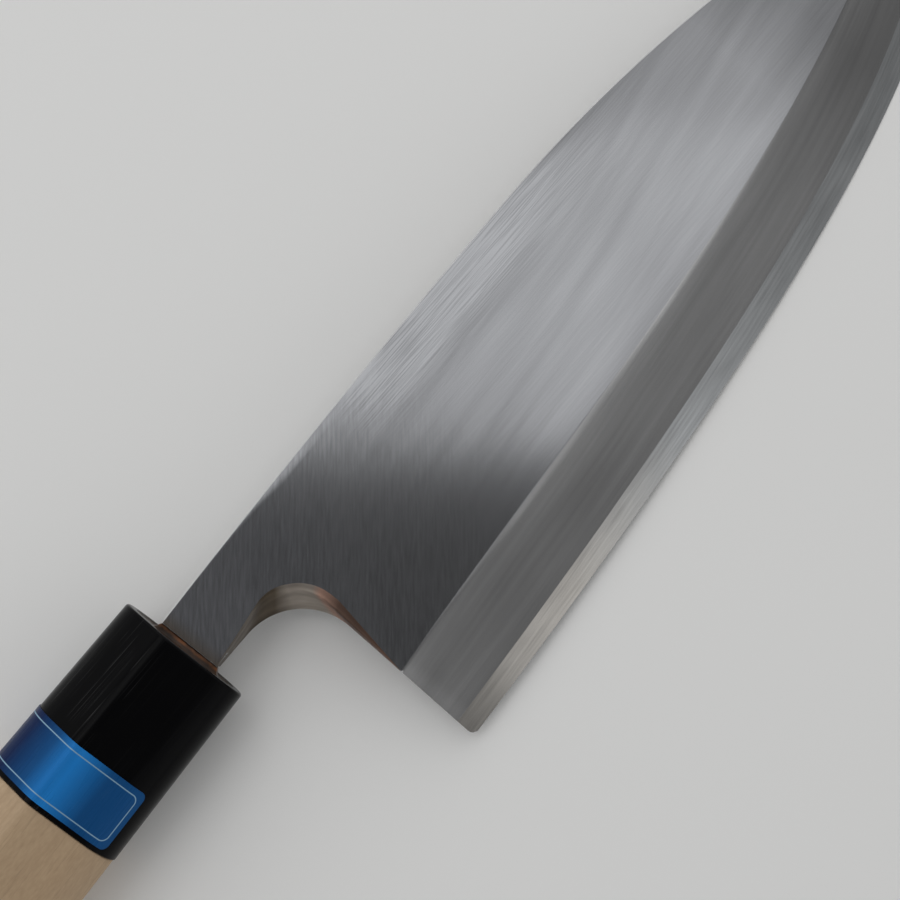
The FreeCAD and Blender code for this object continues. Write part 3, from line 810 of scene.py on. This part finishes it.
def grind_group():
    """Fine and broad lines along a piece's own grind, and soft patches.

    They are noise on the place along and across the lines, each divided by the lines' length and width.
    """
    found = bpy.data.node_groups.get("Grind lines")
    if found:
        return found
    tree = bpy.data.node_groups.new("Grind lines", "ShaderNodeTree")
    tree.interface.new_socket("Place", in_out="INPUT", socket_type="NodeSocketVector")
    values = {"Turn": 0.0, "Length": 0.02, "Width": 0.0003, "Patch": 0.012, "Bend": 0.0}
    for name, default in values.items():
        socket = tree.interface.new_socket(name, in_out="INPUT", socket_type="NodeSocketFloat")
        socket.default_value = default
    for name in ("Fine", "Broad", "Patches"):
        tree.interface.new_socket(name, in_out="OUTPUT", socket_type="NodeSocketFloat")
    given = {socket.name: socket for socket in tree.nodes.new("NodeGroupInput").outputs}
    back = maths(tree, "MULTIPLY", given["Turn"], -1.0)
    turned = add_node(tree, "ShaderNodeVectorRotate", {"Vector": given["Place"], "Angle": back},
                      rotation_type="Z_AXIS")
    parts = add_node(tree, "ShaderNodeSeparateXYZ", {"Vector": turned.outputs["Vector"]}).outputs
    sway = maths(tree, "SUBTRACT", noise(tree, given["Place"], 16.0, 1.0), 0.5)
    bent = maths(tree, "MULTIPLY_ADD", sway, given["Bend"], parts["Y"])
    along = maths(tree, "DIVIDE", parts["X"], given["Length"])
    across = maths(tree, "DIVIDE", bent, given["Width"])
    slow_along, slow_across = maths(tree, "MULTIPLY", along, 0.3), maths(tree, "MULTIPLY", across, 0.16)
    patch_along = maths(tree, "DIVIDE", parts["X"], maths(tree, "MULTIPLY", given["Patch"], 3.0))
    patch_across = maths(tree, "DIVIDE", bent, given["Patch"])
    places = {"Fine": (combined(tree, along, across), 2.0),
              "Broad": (combined(tree, slow_along, slow_across, 7.3), 1.0),
              "Patches": (combined(tree, patch_along, patch_across, 3.1), 1.5)}
    sets = {name: noise(tree, place, 1.0, detail) for name, (place, detail) in places.items()}
    set_inputs(tree, tree.nodes.new("NodeGroupOutput"), sets)
    return tree


def own_place(tree):
    """The piece's own grind attribute: X along the lines, Y across them, Z as each patch sets it."""
    return add_node(tree, "ShaderNodeAttribute", attribute_name="grind").outputs["Vector"]


def place_parts(tree):
    """Parts of that place, by the names of their axes."""
    return add_node(tree, "ShaderNodeSeparateXYZ", {"Vector": own_place(tree)}).outputs


def along_part(tree, low, high):
    """Share from 0 to 1 between two places along the blade, eased at both ends."""
    return mapped(tree, place_parts(tree)["X"], low, high, interpolation_type="SMOOTHSTEP")


def grind_lines(tree, line_length, line_width, patch, turn=0.0, bend=0.0):
    """The grind group placed in a material, reading the piece's own grind attribute."""
    inputs = {"Place": own_place(tree), "Turn": turn, "Length": line_length, "Width": line_width,
              "Patch": patch, "Bend": bend}
    return add_node(tree, "ShaderNodeGroup", inputs, node_tree=grind_group()).outputs


def line_tone(tree, lines, weights):
    """Fine lines, broad lines and patches in given weights, spread over the range from 0 to 1."""
    sets = grind_lines(tree, *lines)
    mixed = weighted(tree, *zip((sets["Fine"], sets["Broad"], sets["Patches"]), weights))
    return mapped(tree, mixed, *NOISE_RANGE)


# Finishes

def new_material(name):
    """Empty material with one Principled shader."""
    material = bpy.data.materials.new(name)
    material.use_nodes = True
    tree = material.node_tree
    tree.nodes.clear()
    shader = tree.nodes.new("ShaderNodeBsdfPrincipled")
    add_node(tree, "ShaderNodeOutputMaterial", {"Surface": shader.outputs["BSDF"]})
    return material, tree, shader


def levelled(tint, level):
    """Colour times a level."""
    return tuple(part * level for part in tint)


def ground_steel(name, steel, roughness, tone_of, depth, contrast, strength=0.5):
    """Ground steel: its lines vary the brightness, the roughness and, slightly, the height.

    Steel and tone are functions that place the tint and the lines in the material. The two roughnesses are
    those of the darkest and the brightest lines.
    """
    material, tree, shader = new_material(name)
    tone = tone_of(tree)
    brightness = mapped(tree, tone, 0.0, 1.0, 1 - contrast, 1 + contrast)
    set_inputs(tree, shader, {"Base Color": scaled(tree, steel(tree), brightness),
                              "Roughness": mapped(tree, tone, 0.0, 1.0, *roughness),
                              "Normal": raised(tree, tone, strength, depth), "Metallic": 1.0})
    return material


def flat_tone(tree):
    """Fine lines across the flat by the heel, soft bent streaks further up, and scratches below the spine."""
    crossing = line_tone(tree, (0.0045, 0.00042, 0.008, radians(38.8)), (0.7, 0.15, 0.15))
    streaks = line_tone(tree, (0.06, 0.0028, 0.012, radians(6), 0.005), (0.3, 0.3, 0.4))
    inputs = {"Factor": along_part(tree, 0.02, 0.07), "A": crossing, "B": streaks}
    lines = add_node(tree, "ShaderNodeMix", inputs, data_type="FLOAT").outputs["Result"]
    calm = mapped(tree, lines, 0.0, 1.0, 0.15, 0.80)
    fine = grind_lines(tree, 0.012, 0.00023, 0.010, radians(-2))["Fine"]
    before_tip = maths(tree, "SUBTRACT", 1.0, along_part(tree, 0.085, 0.125))
    spread = maths(tree, "MULTIPLY", along_part(tree, 0.044, 0.058), before_tip)
    strip = maths(tree, "MULTIPLY", spread, mapped(tree, place_parts(tree)["Z"], 0.0055, 0.0110, 1.0, 0.0))
    grain = mapped(tree, fine, *NOISE_RANGE, -0.06, 0.06)
    return weighted(tree, (mapped(tree, fine, 0.38, 0.66, 0.15, 0.9), strip),
                    (grain, along_part(tree, 0.03, 0.07)), (calm, 1.0))


def bevel_tone(tree):
    """Soft streaks along the bevel, a lighter border at the heel, and a painted highlight along the bevel
    line.
    """
    streaks = line_tone(tree, (0.045, 0.0016, 0.005, 0.0, 0.002), (0.4, 0.35, 0.25))
    heel = maths(tree, "SUBTRACT", 1.0, along_part(tree, 0.0205, 0.0235))
    # Painted highlight: a lighter strip along the bevel line.
    line = mapped(tree, place_parts(tree)["Y"], 0.0008, 0.0065, 1.0, 0.0)
    return weighted(tree, (mapped(tree, streaks, 0.0, 1.0, 0.09, 0.73), 1.0), (heel, 0.35), (line, 0.45))


def plain_tone(*lines, weights=(0.4, 0.3, 0.3)):
    """Tone of one set of lines, alike all over."""
    return lambda tree: line_tone(tree, lines, weights)


def steel_along(*runs):
    """Steel whose tint follows the place along the blade: each run is a tint, then its places and levels."""
    stops = [(x / STEEL_RANGE, levelled(tint, level)) for tint, *places in runs for x, level in places]
    return lambda tree: colour_along(tree, mapped(tree, place_parts(tree)["X"], 0.0, STEEL_RANGE), stops)


def flat_steel(blade):
    """The flat: stain and painted resin reflection by the mouth, painted light on the neck, painted shade by
    the tip.
    """
    # Levels above 1 are painted light on the neck; levels below 1 are painted shade towards the tip.
    return steel_along((blade.stain_and_resin_reflection, (0.001, 1.0)),
                       (blade.flat_steel, (0.0036, 1.12), (0.012, 1.11), (0.020, 1.0), (0.130, 1.0),
                        (0.143, 1.05), (0.158, 0.74)))


def bevel_steel(blade):
    """The bevel, with painted light half-way up and painted shade by the tip."""
    return steel_along((blade.bevel_steel, (0.020, 0.97), (0.045, 0.95), (0.085, 1.08), (0.125, 1.0),
                        (0.1445, 0.79), (0.158, 0.58)))


def band_steel(blade):
    """The edge band, a painted highlight: brightest a third up, fading into the bevel at the heel and by the
    tip.
    """
    return steel_along((blade.heel_edge, (0.021, 0.29), (0.026, 0.37), (0.034, 0.59), (0.050, 0.74)),
                       (blade.tip_edge, (0.084, 0.68), (0.108, 0.53), (0.126, 0.45), (0.152, 0.37)))


def notch_steel(blade):
    """Notch wall: grey by the mouth, dark brown below the neck, and a painted reflection of the wood, pale in
    the arc and warm along the heel.
    """
    brown, pale, warm = blade.dark_brown_below_neck, blade.pale_reflection, blade.warm_reflection
    stops = [(place, levelled(film, level)) for place, film, level in (
        (0.0, pale, 0.6), (0.28, pale, 0.65), (0.37, brown, 1), (0.43, brown, 1), (0.49, pale, 1),
        (0.595, pale, 1), (0.63, warm, 3.6), (0.71, warm, 1), (0.85, warm, 1), (1.0, warm, 1.4))]
    return lambda tree: colour_along(tree, place_parts(tree)["Z"], stops)


def ferrule_black(handle, spine_side, ridge):
    """Moulded black with long fine scratches along the handle, between the spine side and the ridge."""
    material, tree, shader = new_material("ferrule_black")
    around = place_parts(tree)["Y"]
    lines = grind_lines(tree, 0.06, 0.00018, 0.003, radians(1.5))
    worn_side = maths(tree, "MULTIPLY", mapped(tree, around, spine_side, spine_side + WEAR_FADE, 0.1, 1.0),
                      mapped(tree, around, ridge, ridge + WEAR_FADE, 1.0, 0.1))
    scratch = maths(tree, "MULTIPLY", mapped(tree, lines["Fine"], 0.58, 0.74), worn_side)
    scratch = maths(tree, "MULTIPLY", scratch, mapped(tree, lines["Patches"], 0.42, 0.6))
    worn = [value + WEAR_LIFT for value in handle.black]
    smooth = mapped(tree, lines["Patches"], 0.3, 0.7, 0.14, 0.24)
    height = maths(tree, "SUBTRACT", maths(tree, "MULTIPLY", lines["Broad"], 0.4), scratch)
    set_inputs(tree, shader, {"Base Color": blended(tree, scratch, handle.black, worn),
                              "Roughness": maths(tree, "MULTIPLY_ADD", scratch, 0.2, smooth),
                              "Normal": raised(tree, height, 0.4, 3e-6), "Specular IOR Level": 0.05})
    return material


def handle_wood(handle):
    """Pale close-grained wood: growth rings about a pith outside the handle.

    They show as lines along the handle and arcs on the butt. The rings waver, and short pores, flecks and
    broad changes of tone lie over them.
    """
    material, tree, shader = new_material("handle_wood")
    place = add_node(tree, "ShaderNodeTexCoord").outputs["Object"]
    bend = noise(tree, stretched(tree, place, 14.0, 60.0, 60.0))
    pith = (0.0, -MOUTH[1] - handle.pith_offset, handle.pith_offset - MOUTH[2])
    across = stretched(tree, place, 0.0, 1.0, 1.0, Location=pith)
    radius = add_node(tree, "ShaderNodeVectorMath", {0: across}, operation="LENGTH").outputs["Value"]
    along = add_node(tree, "ShaderNodeSeparateXYZ", {"Vector": place}).outputs["X"]
    ring = maths(tree, "MULTIPLY_ADD", bend, 3.0, maths(tree, "MULTIPLY", radius, RING_RATE))
    grain = noise(tree, combined(tree, maths(tree, "MULTIPLY", along, 9.0), ring), 1.0, 4.0, 0.6)
    pores = mapped(tree, noise(tree, stretched(tree, place, 160.0, 2600.0, 2600.0)), 0.60, 0.72)
    flecks = noise(tree, stretched(tree, place, 700.0, 2200.0, 2200.0))
    tone = mapped(tree, weighted(tree, (grain, 0.5), (bend, 0.15), (flecks, 0.35)), 0.34, 0.66, 0.05, 0.95)
    wood = blended(tree, tone, handle.pale_wood, handle.dark_wood)
    pored = blended(tree, maths(tree, "MULTIPLY", pores, 0.35), wood, levelled(handle.dark_wood, 0.7))
    height = maths(tree, "SUBTRACT", grain, pores)
    set_inputs(tree, shader, {"Base Color": pored, "Roughness": mapped(tree, grain, 0.3, 0.7, 0.5, 0.66),
                              "Normal": raised(tree, height, 0.35, 2e-5)})
    return material


def cast_resin(name, handle):
    """Brown resin, cloudy in depth, with an uneven skin and a painted amber glint beside the steel."""
    material, tree, shader = new_material(name)
    place = add_node(tree, "ShaderNodeTexCoord").outputs["Object"]
    cloud, skin = noise(tree, place, 380.0, 3.0), noise(tree, place, 1500.0)
    dark, pale = levelled(handle.resin, 0.4), levelled(handle.resin, 2.0)
    brown = blended(tree, mapped(tree, cloud, 0.35, 0.68), dark, pale)
    away = maths(tree, "ABSOLUTE", maths(tree, "SUBTRACT", place_parts(tree)["Y"], AMBER_GLINT_PLACE))
    # Painted amber glint in a thin line beside the steel.
    glint = maths(tree, "MULTIPLY", mapped(tree, away, 0.00006, 0.00025, 1.0, 0.0),
                 mapped(tree, cloud, 0.42, 0.58, 0.15, 1.0))
    set_inputs(tree, shader, {"Base Color": blended(tree, glint, brown, handle.amber_glint),
                              "Roughness": mapped(tree, skin, 0.3, 0.7, 0.25, 0.45),
                              "Normal": raised(tree, skin, 0.5, 5e-5), "Specular IOR Level": 0.2})
    return material


def label_foil(label, span):
    """Blue foil with painted shade on the spine side and a painted highlight below the ridge, inside a pale
    rounded border line.

    The line lies where the distance to a rounded rectangle, worked out on the label's own place, is zero.
    """
    material, tree, shader = new_material("label_foil")
    parts = place_parts(tree)
    along, around = parts["X"], parts["Y"]

    def beyond(value, half):
        inner = half - label.border_inset - label.corner
        return maths(tree, "SUBTRACT", maths(tree, "ABSOLUTE", value), inner)

    over = beyond(along, label.length / 2), beyond(around, span / 2)
    squares = (maths(tree, "POWER", maths(tree, "MAXIMUM", value, 0.0), 2.0) for value in over)
    outside = maths(tree, "SQRT", maths(tree, "ADD", *squares))
    within = maths(tree, "MINIMUM", maths(tree, "MAXIMUM", *over), 0.0)
    away = maths(tree, "ABSOLUTE", maths(tree, "SUBTRACT", maths(tree, "ADD", outside, within), label.corner))
    line = mapped(tree, away, label.border_width * 0.35, label.border_width * 0.65, 1.0, 0.0)

    middle, bright, shade_blue = label.middle, label.bright, label.shade_blue
    # Painted shade on the spine side and a painted highlight below the ridge, across the label.
    stops = (0.0, middle), (0.18, middle), (0.33, bright), (0.46, middle), (0.60, shade_blue), (1.0, shade_blue)
    shade = colour_along(tree, mapped(tree, around, -span / 2, span / 2), stops)
    brushed = grind_lines(tree, 0.004, 0.00012, 0.003)
    blue = blended(tree, mapped(tree, brushed["Fine"], 0.3, 0.7, 0.0, 0.03), shade, label.border)
    set_inputs(tree, shader, {"Base Color": blended(tree, line, blue, label.border),
                              "Roughness": mapped(tree, brushed["Broad"], 0.3, 0.7, 0.24, 0.36),
                              "Normal": raised(tree, brushed["Patches"], 0.3, 2e-5),
                              "Metallic": 0.15, "Specular IOR Level": 0.05})
    return material


# Operators

class KNIFE_OT_blade(bpy.types.Operator):
    """Makes the blade and its tang"""
    bl_idname = "knife.blade"
    bl_label = "Blade"

    def execute(self, context):
        blade = context.scene.knife_blade
        plain = tuple(blade.bevel_steel)
        finishes = [ground_steel(*row) for row in (
            ("flat_steel", flat_steel(blade), (0.138, 0.108), flat_tone, 3e-6, 0.28),
            ("bevel_steel", bevel_steel(blade), (0.23, 0.18), bevel_tone, 3e-6, 0.28),
            ("band_steel", band_steel(blade), (0.253, 0.198), plain_tone(0.012, 0.0004, 0.003), 2e-6, 0.20),
            ("wall_steel", lambda tree: plain, (0.322, 0.252), plain_tone(0.010, 0.0003, 0.006), 3e-6, 0.10),
            ("back_steel", lambda tree: plain, (0.253, 0.198), plain_tone(0.030, 0.0006, 0.010), 3e-6, 0.10),
            ("notch_steel", notch_steel(blade), (0.62, 0.5),
             plain_tone(0.004, 0.0012, 0.002, weights=(0.1, 0.3, 0.6)), 4e-6, 0.2, 0.4))]
        make_piece("knife_blade", blade_patches(blade), finishes, "blade",
                   crease=(BEVEL, BAND))
        return {"FINISHED"}


class KNIFE_OT_ferrule(bpy.types.Operator):
    """Makes the black ferrule: its wall carried round the section, with a rounded lip at the mouth"""
    bl_idname = "knife.ferrule"
    bl_label = "Ferrule"

    def execute(self, context):
        handle = context.scene.knife_handle
        rear, wall, lip = -handle.ferrule_length, handle.ferrule_wall, handle.lip
        bore = [(rear, wall), (rear / 2, wall), (-BORE_CHAMFER, wall), (0.0, wall - BORE_CHAMFER)]
        rounded = np.column_stack((lip * (np.cos(QUARTER) - 1), lip * (1 - np.sin(QUARTER))))
        side = straight(-lip - SIDE_MARGIN, rear + JOINT_CHAMFER, 0.0, 24)
        section = section_at_mouth(handle)
        path = np.concatenate((bore, rounded, side, [(rear, JOINT_CHAMFER), (rear, wall)]))
        grid, place = round_section(path, section, handle)
        spine_side, ridge = (section[2][np.argmax(section[0][:, axis])] for axis in (0, 1))
        black = ferrule_black(handle, spine_side, ridge)
        make_piece("knife_ferrule", [(grid, 0, place)], [black], "ferrule")
        return {"FINISHED"}


class KNIFE_OT_handle(bpy.types.Operator):
    """Makes the wooden handle with its tenon"""
    bl_idname = "knife.handle"
    bl_label = "Handle"

    def execute(self, context):
        handle = context.scene.knife_handle
        front, butt, step = -handle.ferrule_length, -handle.handle_length, handle.wood_step
        tenon, soft = handle.ferrule_wall + TENON_GAP, handle.butt_rounding
        nose = np.column_stack((front - NOSE_ROUNDING * (1 - np.cos(QUARTER)),
                                step + NOSE_ROUNDING * (1 - np.sin(QUARTER))))
        side = straight(front - SIDE_MARGIN, butt + soft + SIDE_MARGIN, step, 40)
        end = np.column_stack((butt + soft * (1 - np.sin(QUARTER)), step + soft * (1 - np.cos(QUARTER))))
        path = np.concatenate(([(SEAL_FLOOR, tenon), (front, tenon)], nose, side, end))
        grid, place = round_section(path, section_at_mouth(handle), handle)
        caps = [end_cap(ring, np.linspace(0, 1, 6)) for ring in (grid[0], grid[-1])]
        patches = [(grid, 0, place)] + [(cap, 0, cap) for cap in caps]
        make_piece("knife_handle", patches, [handle_wood(handle)], "handle")
        return {"FINISHED"}


class KNIFE_OT_label(bpy.types.Operator):
    """Makes the foil label wrapped round the rear of the ferrule"""
    bl_idname = "knife.label"
    bl_label = "Label"

    def execute(self, context):
        label = context.scene.knife_label
        patches, span = label_patches(context.scene.knife_handle, label)
        make_piece("knife_label", patches, [label_foil(label, span)], "label")
        return {"FINISHED"}


class KNIFE_OT_resin(bpy.types.Operator):
    """Makes the resin seal in the mouth and finishes the bedding round the tang"""
    bl_idname = "knife.resin"
    bl_label = "Resin"

    def execute(self, context):
        handle = context.scene.knife_handle
        seal = seal_patch(handle, context.scene.knife_blade)
        make_piece("knife_mouth_seal", [seal], [cast_resin("seal_resin", handle)], "mouth_seal")
        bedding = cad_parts["tang_bedding"]
        bedding.data.materials.clear()
        bedding.data.materials.append(cast_resin("bedding_resin", handle))
        return {"FINISHED"}


class KNIFE_OT_stage(bpy.types.Operator):
    """Sets the floor, the light and the camera"""
    bl_idname = "knife.stage"
    bl_label = "Stage"

    # Camera axes and eye on the knife's own axes, worked out from the knife's outline
    RIGHT = np.array((0.623074, -0.777845, 0.082081))
    UP = np.array((0.774947, 0.628139, 0.069990))
    BACK = np.array((-0.106, 0.02, 0.994165))
    AIM = np.array((0.05549, -0.01410, 0.0))
    DISTANCE = 0.350
    BALANCE = np.array((0.0425, -0.0110, -0.0008))
    SENSOR, CLIP_START = 36.0, 0.01

    # First step of the search for the floor's tilt, which halves with each round
    TILT_STEP, TILT_ROUNDS = 0.02, 16

    # Boxes level with the camera: places to the right and up, size and level. Fills: way, size and level.
    BOX_DISTANCE = 0.80
    BOXES = (("soft_box", 0.02, 0.225, (0.94, 0.21), 0.48),
             ("upper_box", 0.02, 0.5875, (0.94, 0.515), 0.27),
             ("bevel_card", 0.385, 0.03, (0.20, 0.22), 0.25))
    FILLS = (("tip_fill", (1.0, 0.55, 0.60), (1.8, 1.2), 0.45),
             ("butt_fill", (-1.0, 0.55, 0.60), (1.8, 1.2), 0.45),
             ("spine_fill", (-0.1, 0.70, 1.0), (0.9, 0.6), 1.0))

    # Grey of the surroundings, from level with the floor up to the camera's axis
    SKY = ((0.0, 0.80), (0.30, 0.75), (0.50, 0.58), (0.64, 0.43), (0.72, 0.36), (0.80, 0.17), (0.87, 0.132),
           (0.94, 0.07), (0.975, 0.060))
    ZENITH = (0.098, 0.098, 0.102)

    def execute(self, context):
        stage = context.scene.knife_stage
        self.camera(context, stage)
        self.floor(context, stage)
        self.lamps(context)
        self.world(context)
        context.scene.view_settings.view_transform = "Standard"
        return {"FINISHED"}

    def put(self, context, data, place=(0, 0, 0), right=(1, 0, 0), up=(0, 1, 0), back=(0, 0, 1)):
        """Object of the data, turned to given axes at a place."""
        matrix = np.eye(4)
        matrix[:3] = np.column_stack((right, up, back, place))
        item = bpy.data.objects.new(data.name, data)
        item.matrix_world = Matrix(matrix.tolist())
        context.scene.collection.objects.link(item)
        return item

    def camera(self, context, stage):
        """Camera that looks along its back axis at the aim."""
        data = bpy.data.cameras.new("camera")
        data.lens, data.sensor_width, data.clip_start = stage.lens, self.SENSOR, self.CLIP_START
        eye = MOUTH + self.AIM + self.BACK * self.DISTANCE
        context.scene.camera = self.put(context, data, eye, self.RIGHT, self.UP, self.BACK)

    def points_of(self, mesh):
        """A mesh's points as rows."""
        points = np.empty(len(mesh.vertices) * 3, np.float32)
        mesh.vertices.foreach_get("co", points)
        return points.reshape(-1, 3).astype(float)

    def floor(self, context, stage):
        """Plane that the knife lies on: of all planes under it, the highest one below its balance point."""
        balance = MOUTH + self.BALANCE
        solids = [self.points_of(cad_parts[name].data) for name in ("blade", "handle")]
        points = np.concatenate(solids) - balance
        spread = np.stack(np.meshgrid(np.arange(-4, 5), np.arange(-4, 5)), axis=-1).reshape(-1, 2)
        tilt, step = np.zeros(2), self.TILT_STEP
        for _ in range(self.TILT_ROUNDS):
            tries = tilt + spread * step
            levels = np.min(points[:, 2:] - points[:, :2] @ tries.T, axis=0)
            tilt, step = tries[np.argmax(levels)], step / 2
        normal = unit(np.array((-tilt[0], -tilt[1], 1.0)))
        side = unit(np.cross((0.0, 1.0, 0.0), normal))
        ahead = np.cross(normal, side)
        middle = balance + (0, 0, levels.max() - FLOOR_GAP)
        half = stage.floor_size / 2
        corners = [middle + side * a + ahead * b
                   for a, b in ((-half, -half), (half, -half), (half, half), (-half, half))]
        mesh = bpy.data.meshes.new("floor")
        mesh.from_pydata([tuple(corner) for corner in corners], [], [(0, 1, 2, 3)])
        material, tree, shader = new_material("floor_paint")
        set_inputs(tree, shader, {"Base Color": (*stage.floor, 1.0), "Roughness": 0.7,
                                  "Specular IOR Level": 0.2})
        mesh.materials.append(material)
        self.put(context, mesh)

    def lamps(self, context):
        """A wide soft box, weaker in its upper part, a card beside it, and three fills.

        The box lies beyond the top of the picture. The fills lie beyond each end and on the spine side, and
        face the knife.
        """
        ahead = self.BACK * self.BOX_DISTANCE
        lamps = [(name, self.UP * up + self.RIGHT * right + ahead, self.BACK, self.UP, *rest)
                 for name, right, up, *rest in self.BOXES]
        lamps += [(name, np.array(way), unit(np.array(way)), (0.0, 0.0, 1.0), *rest)
                  for name, way, *rest in self.FILLS]
        for name, way, back, top, size, level in lamps:
            across = unit(np.cross(top, back))
            data = bpy.data.lights.new(name, "AREA")
            data.shape, data.size, data.size_y = "RECTANGLE", *size
            data.energy = level * pi * size[0] * size[1]
            self.put(context, data, MOUTH + self.AIM + way, across, np.cross(back, across), back)

    def world(self, context):
        """Pale surroundings that darken overhead."""
        world = bpy.data.worlds.new("studio")
        world.use_nodes = True
        tree = world.node_tree
        tree.nodes.clear()
        way = add_node(tree, "ShaderNodeTexCoord").outputs["Generated"]
        inputs = {0: way, 1: tuple(self.BACK)}
        overhead = add_node(tree, "ShaderNodeVectorMath", inputs, operation="DOT_PRODUCT").outputs["Value"]
        stops = [(place, (level,) * 3) for place, level in self.SKY] + [(1.0, self.ZENITH)]
        sky = colour_along(tree, overhead, stops)
        light = add_node(tree, "ShaderNodeBackground", {"Color": sky, "Strength": 1.0})
        add_node(tree, "ShaderNodeOutputWorld", {"Surface": light.outputs["Background"]})
        context.scene.world = world


class KNIFE_PT_panel(bpy.types.Panel):
    """Lists the pieces and their settings"""
    bl_idname = "KNIFE_PT_panel"
    bl_label = "Deba Knife"
    bl_space_type = "VIEW_3D"
    bl_region_type = "UI"
    bl_category = "Knife"

    def draw(self, context):
        for operators, settings in PANEL_ROWS:
            box = self.layout.box()
            for operator in operators:
                box.operator(operator.bl_idname)
            group = getattr(context.scene, settings)
            for name in group.__annotations__:
                box.prop(group, name)


PANEL_ROWS = (((KNIFE_OT_blade,), "knife_blade"),
              ((KNIFE_OT_ferrule, KNIFE_OT_handle, KNIFE_OT_resin), "knife_handle"),
              ((KNIFE_OT_label,), "knife_label"), ((KNIFE_OT_stage,), "knife_stage"))
SETTINGS = {"knife_blade": BladeSettings, "knife_handle": HandleSettings, "knife_label": LabelSettings,
            "knife_stage": StageSettings}
CLASSES = (*SETTINGS.values(), KNIFE_OT_blade, KNIFE_OT_ferrule, KNIFE_OT_handle, KNIFE_OT_label,
           KNIFE_OT_resin, KNIFE_OT_stage, KNIFE_PT_panel)


def register():
    for item in CLASSES:
        bpy.utils.register_class(item)
    for name, group in SETTINGS.items():
        setattr(bpy.types.Scene, name, PointerProperty(type=group))


def unregister():
    for name in SETTINGS:
        delattr(bpy.types.Scene, name)
    for item in reversed(CLASSES):
        bpy.utils.unregister_class(item)


def main():
    register()
    bpy.ops.knife.blade()
    bpy.ops.knife.ferrule()
    bpy.ops.knife.handle()
    bpy.ops.knife.label()
    bpy.ops.knife.resin()
    bpy.ops.knife.stage()


if __name__ == "__main__":
    main()
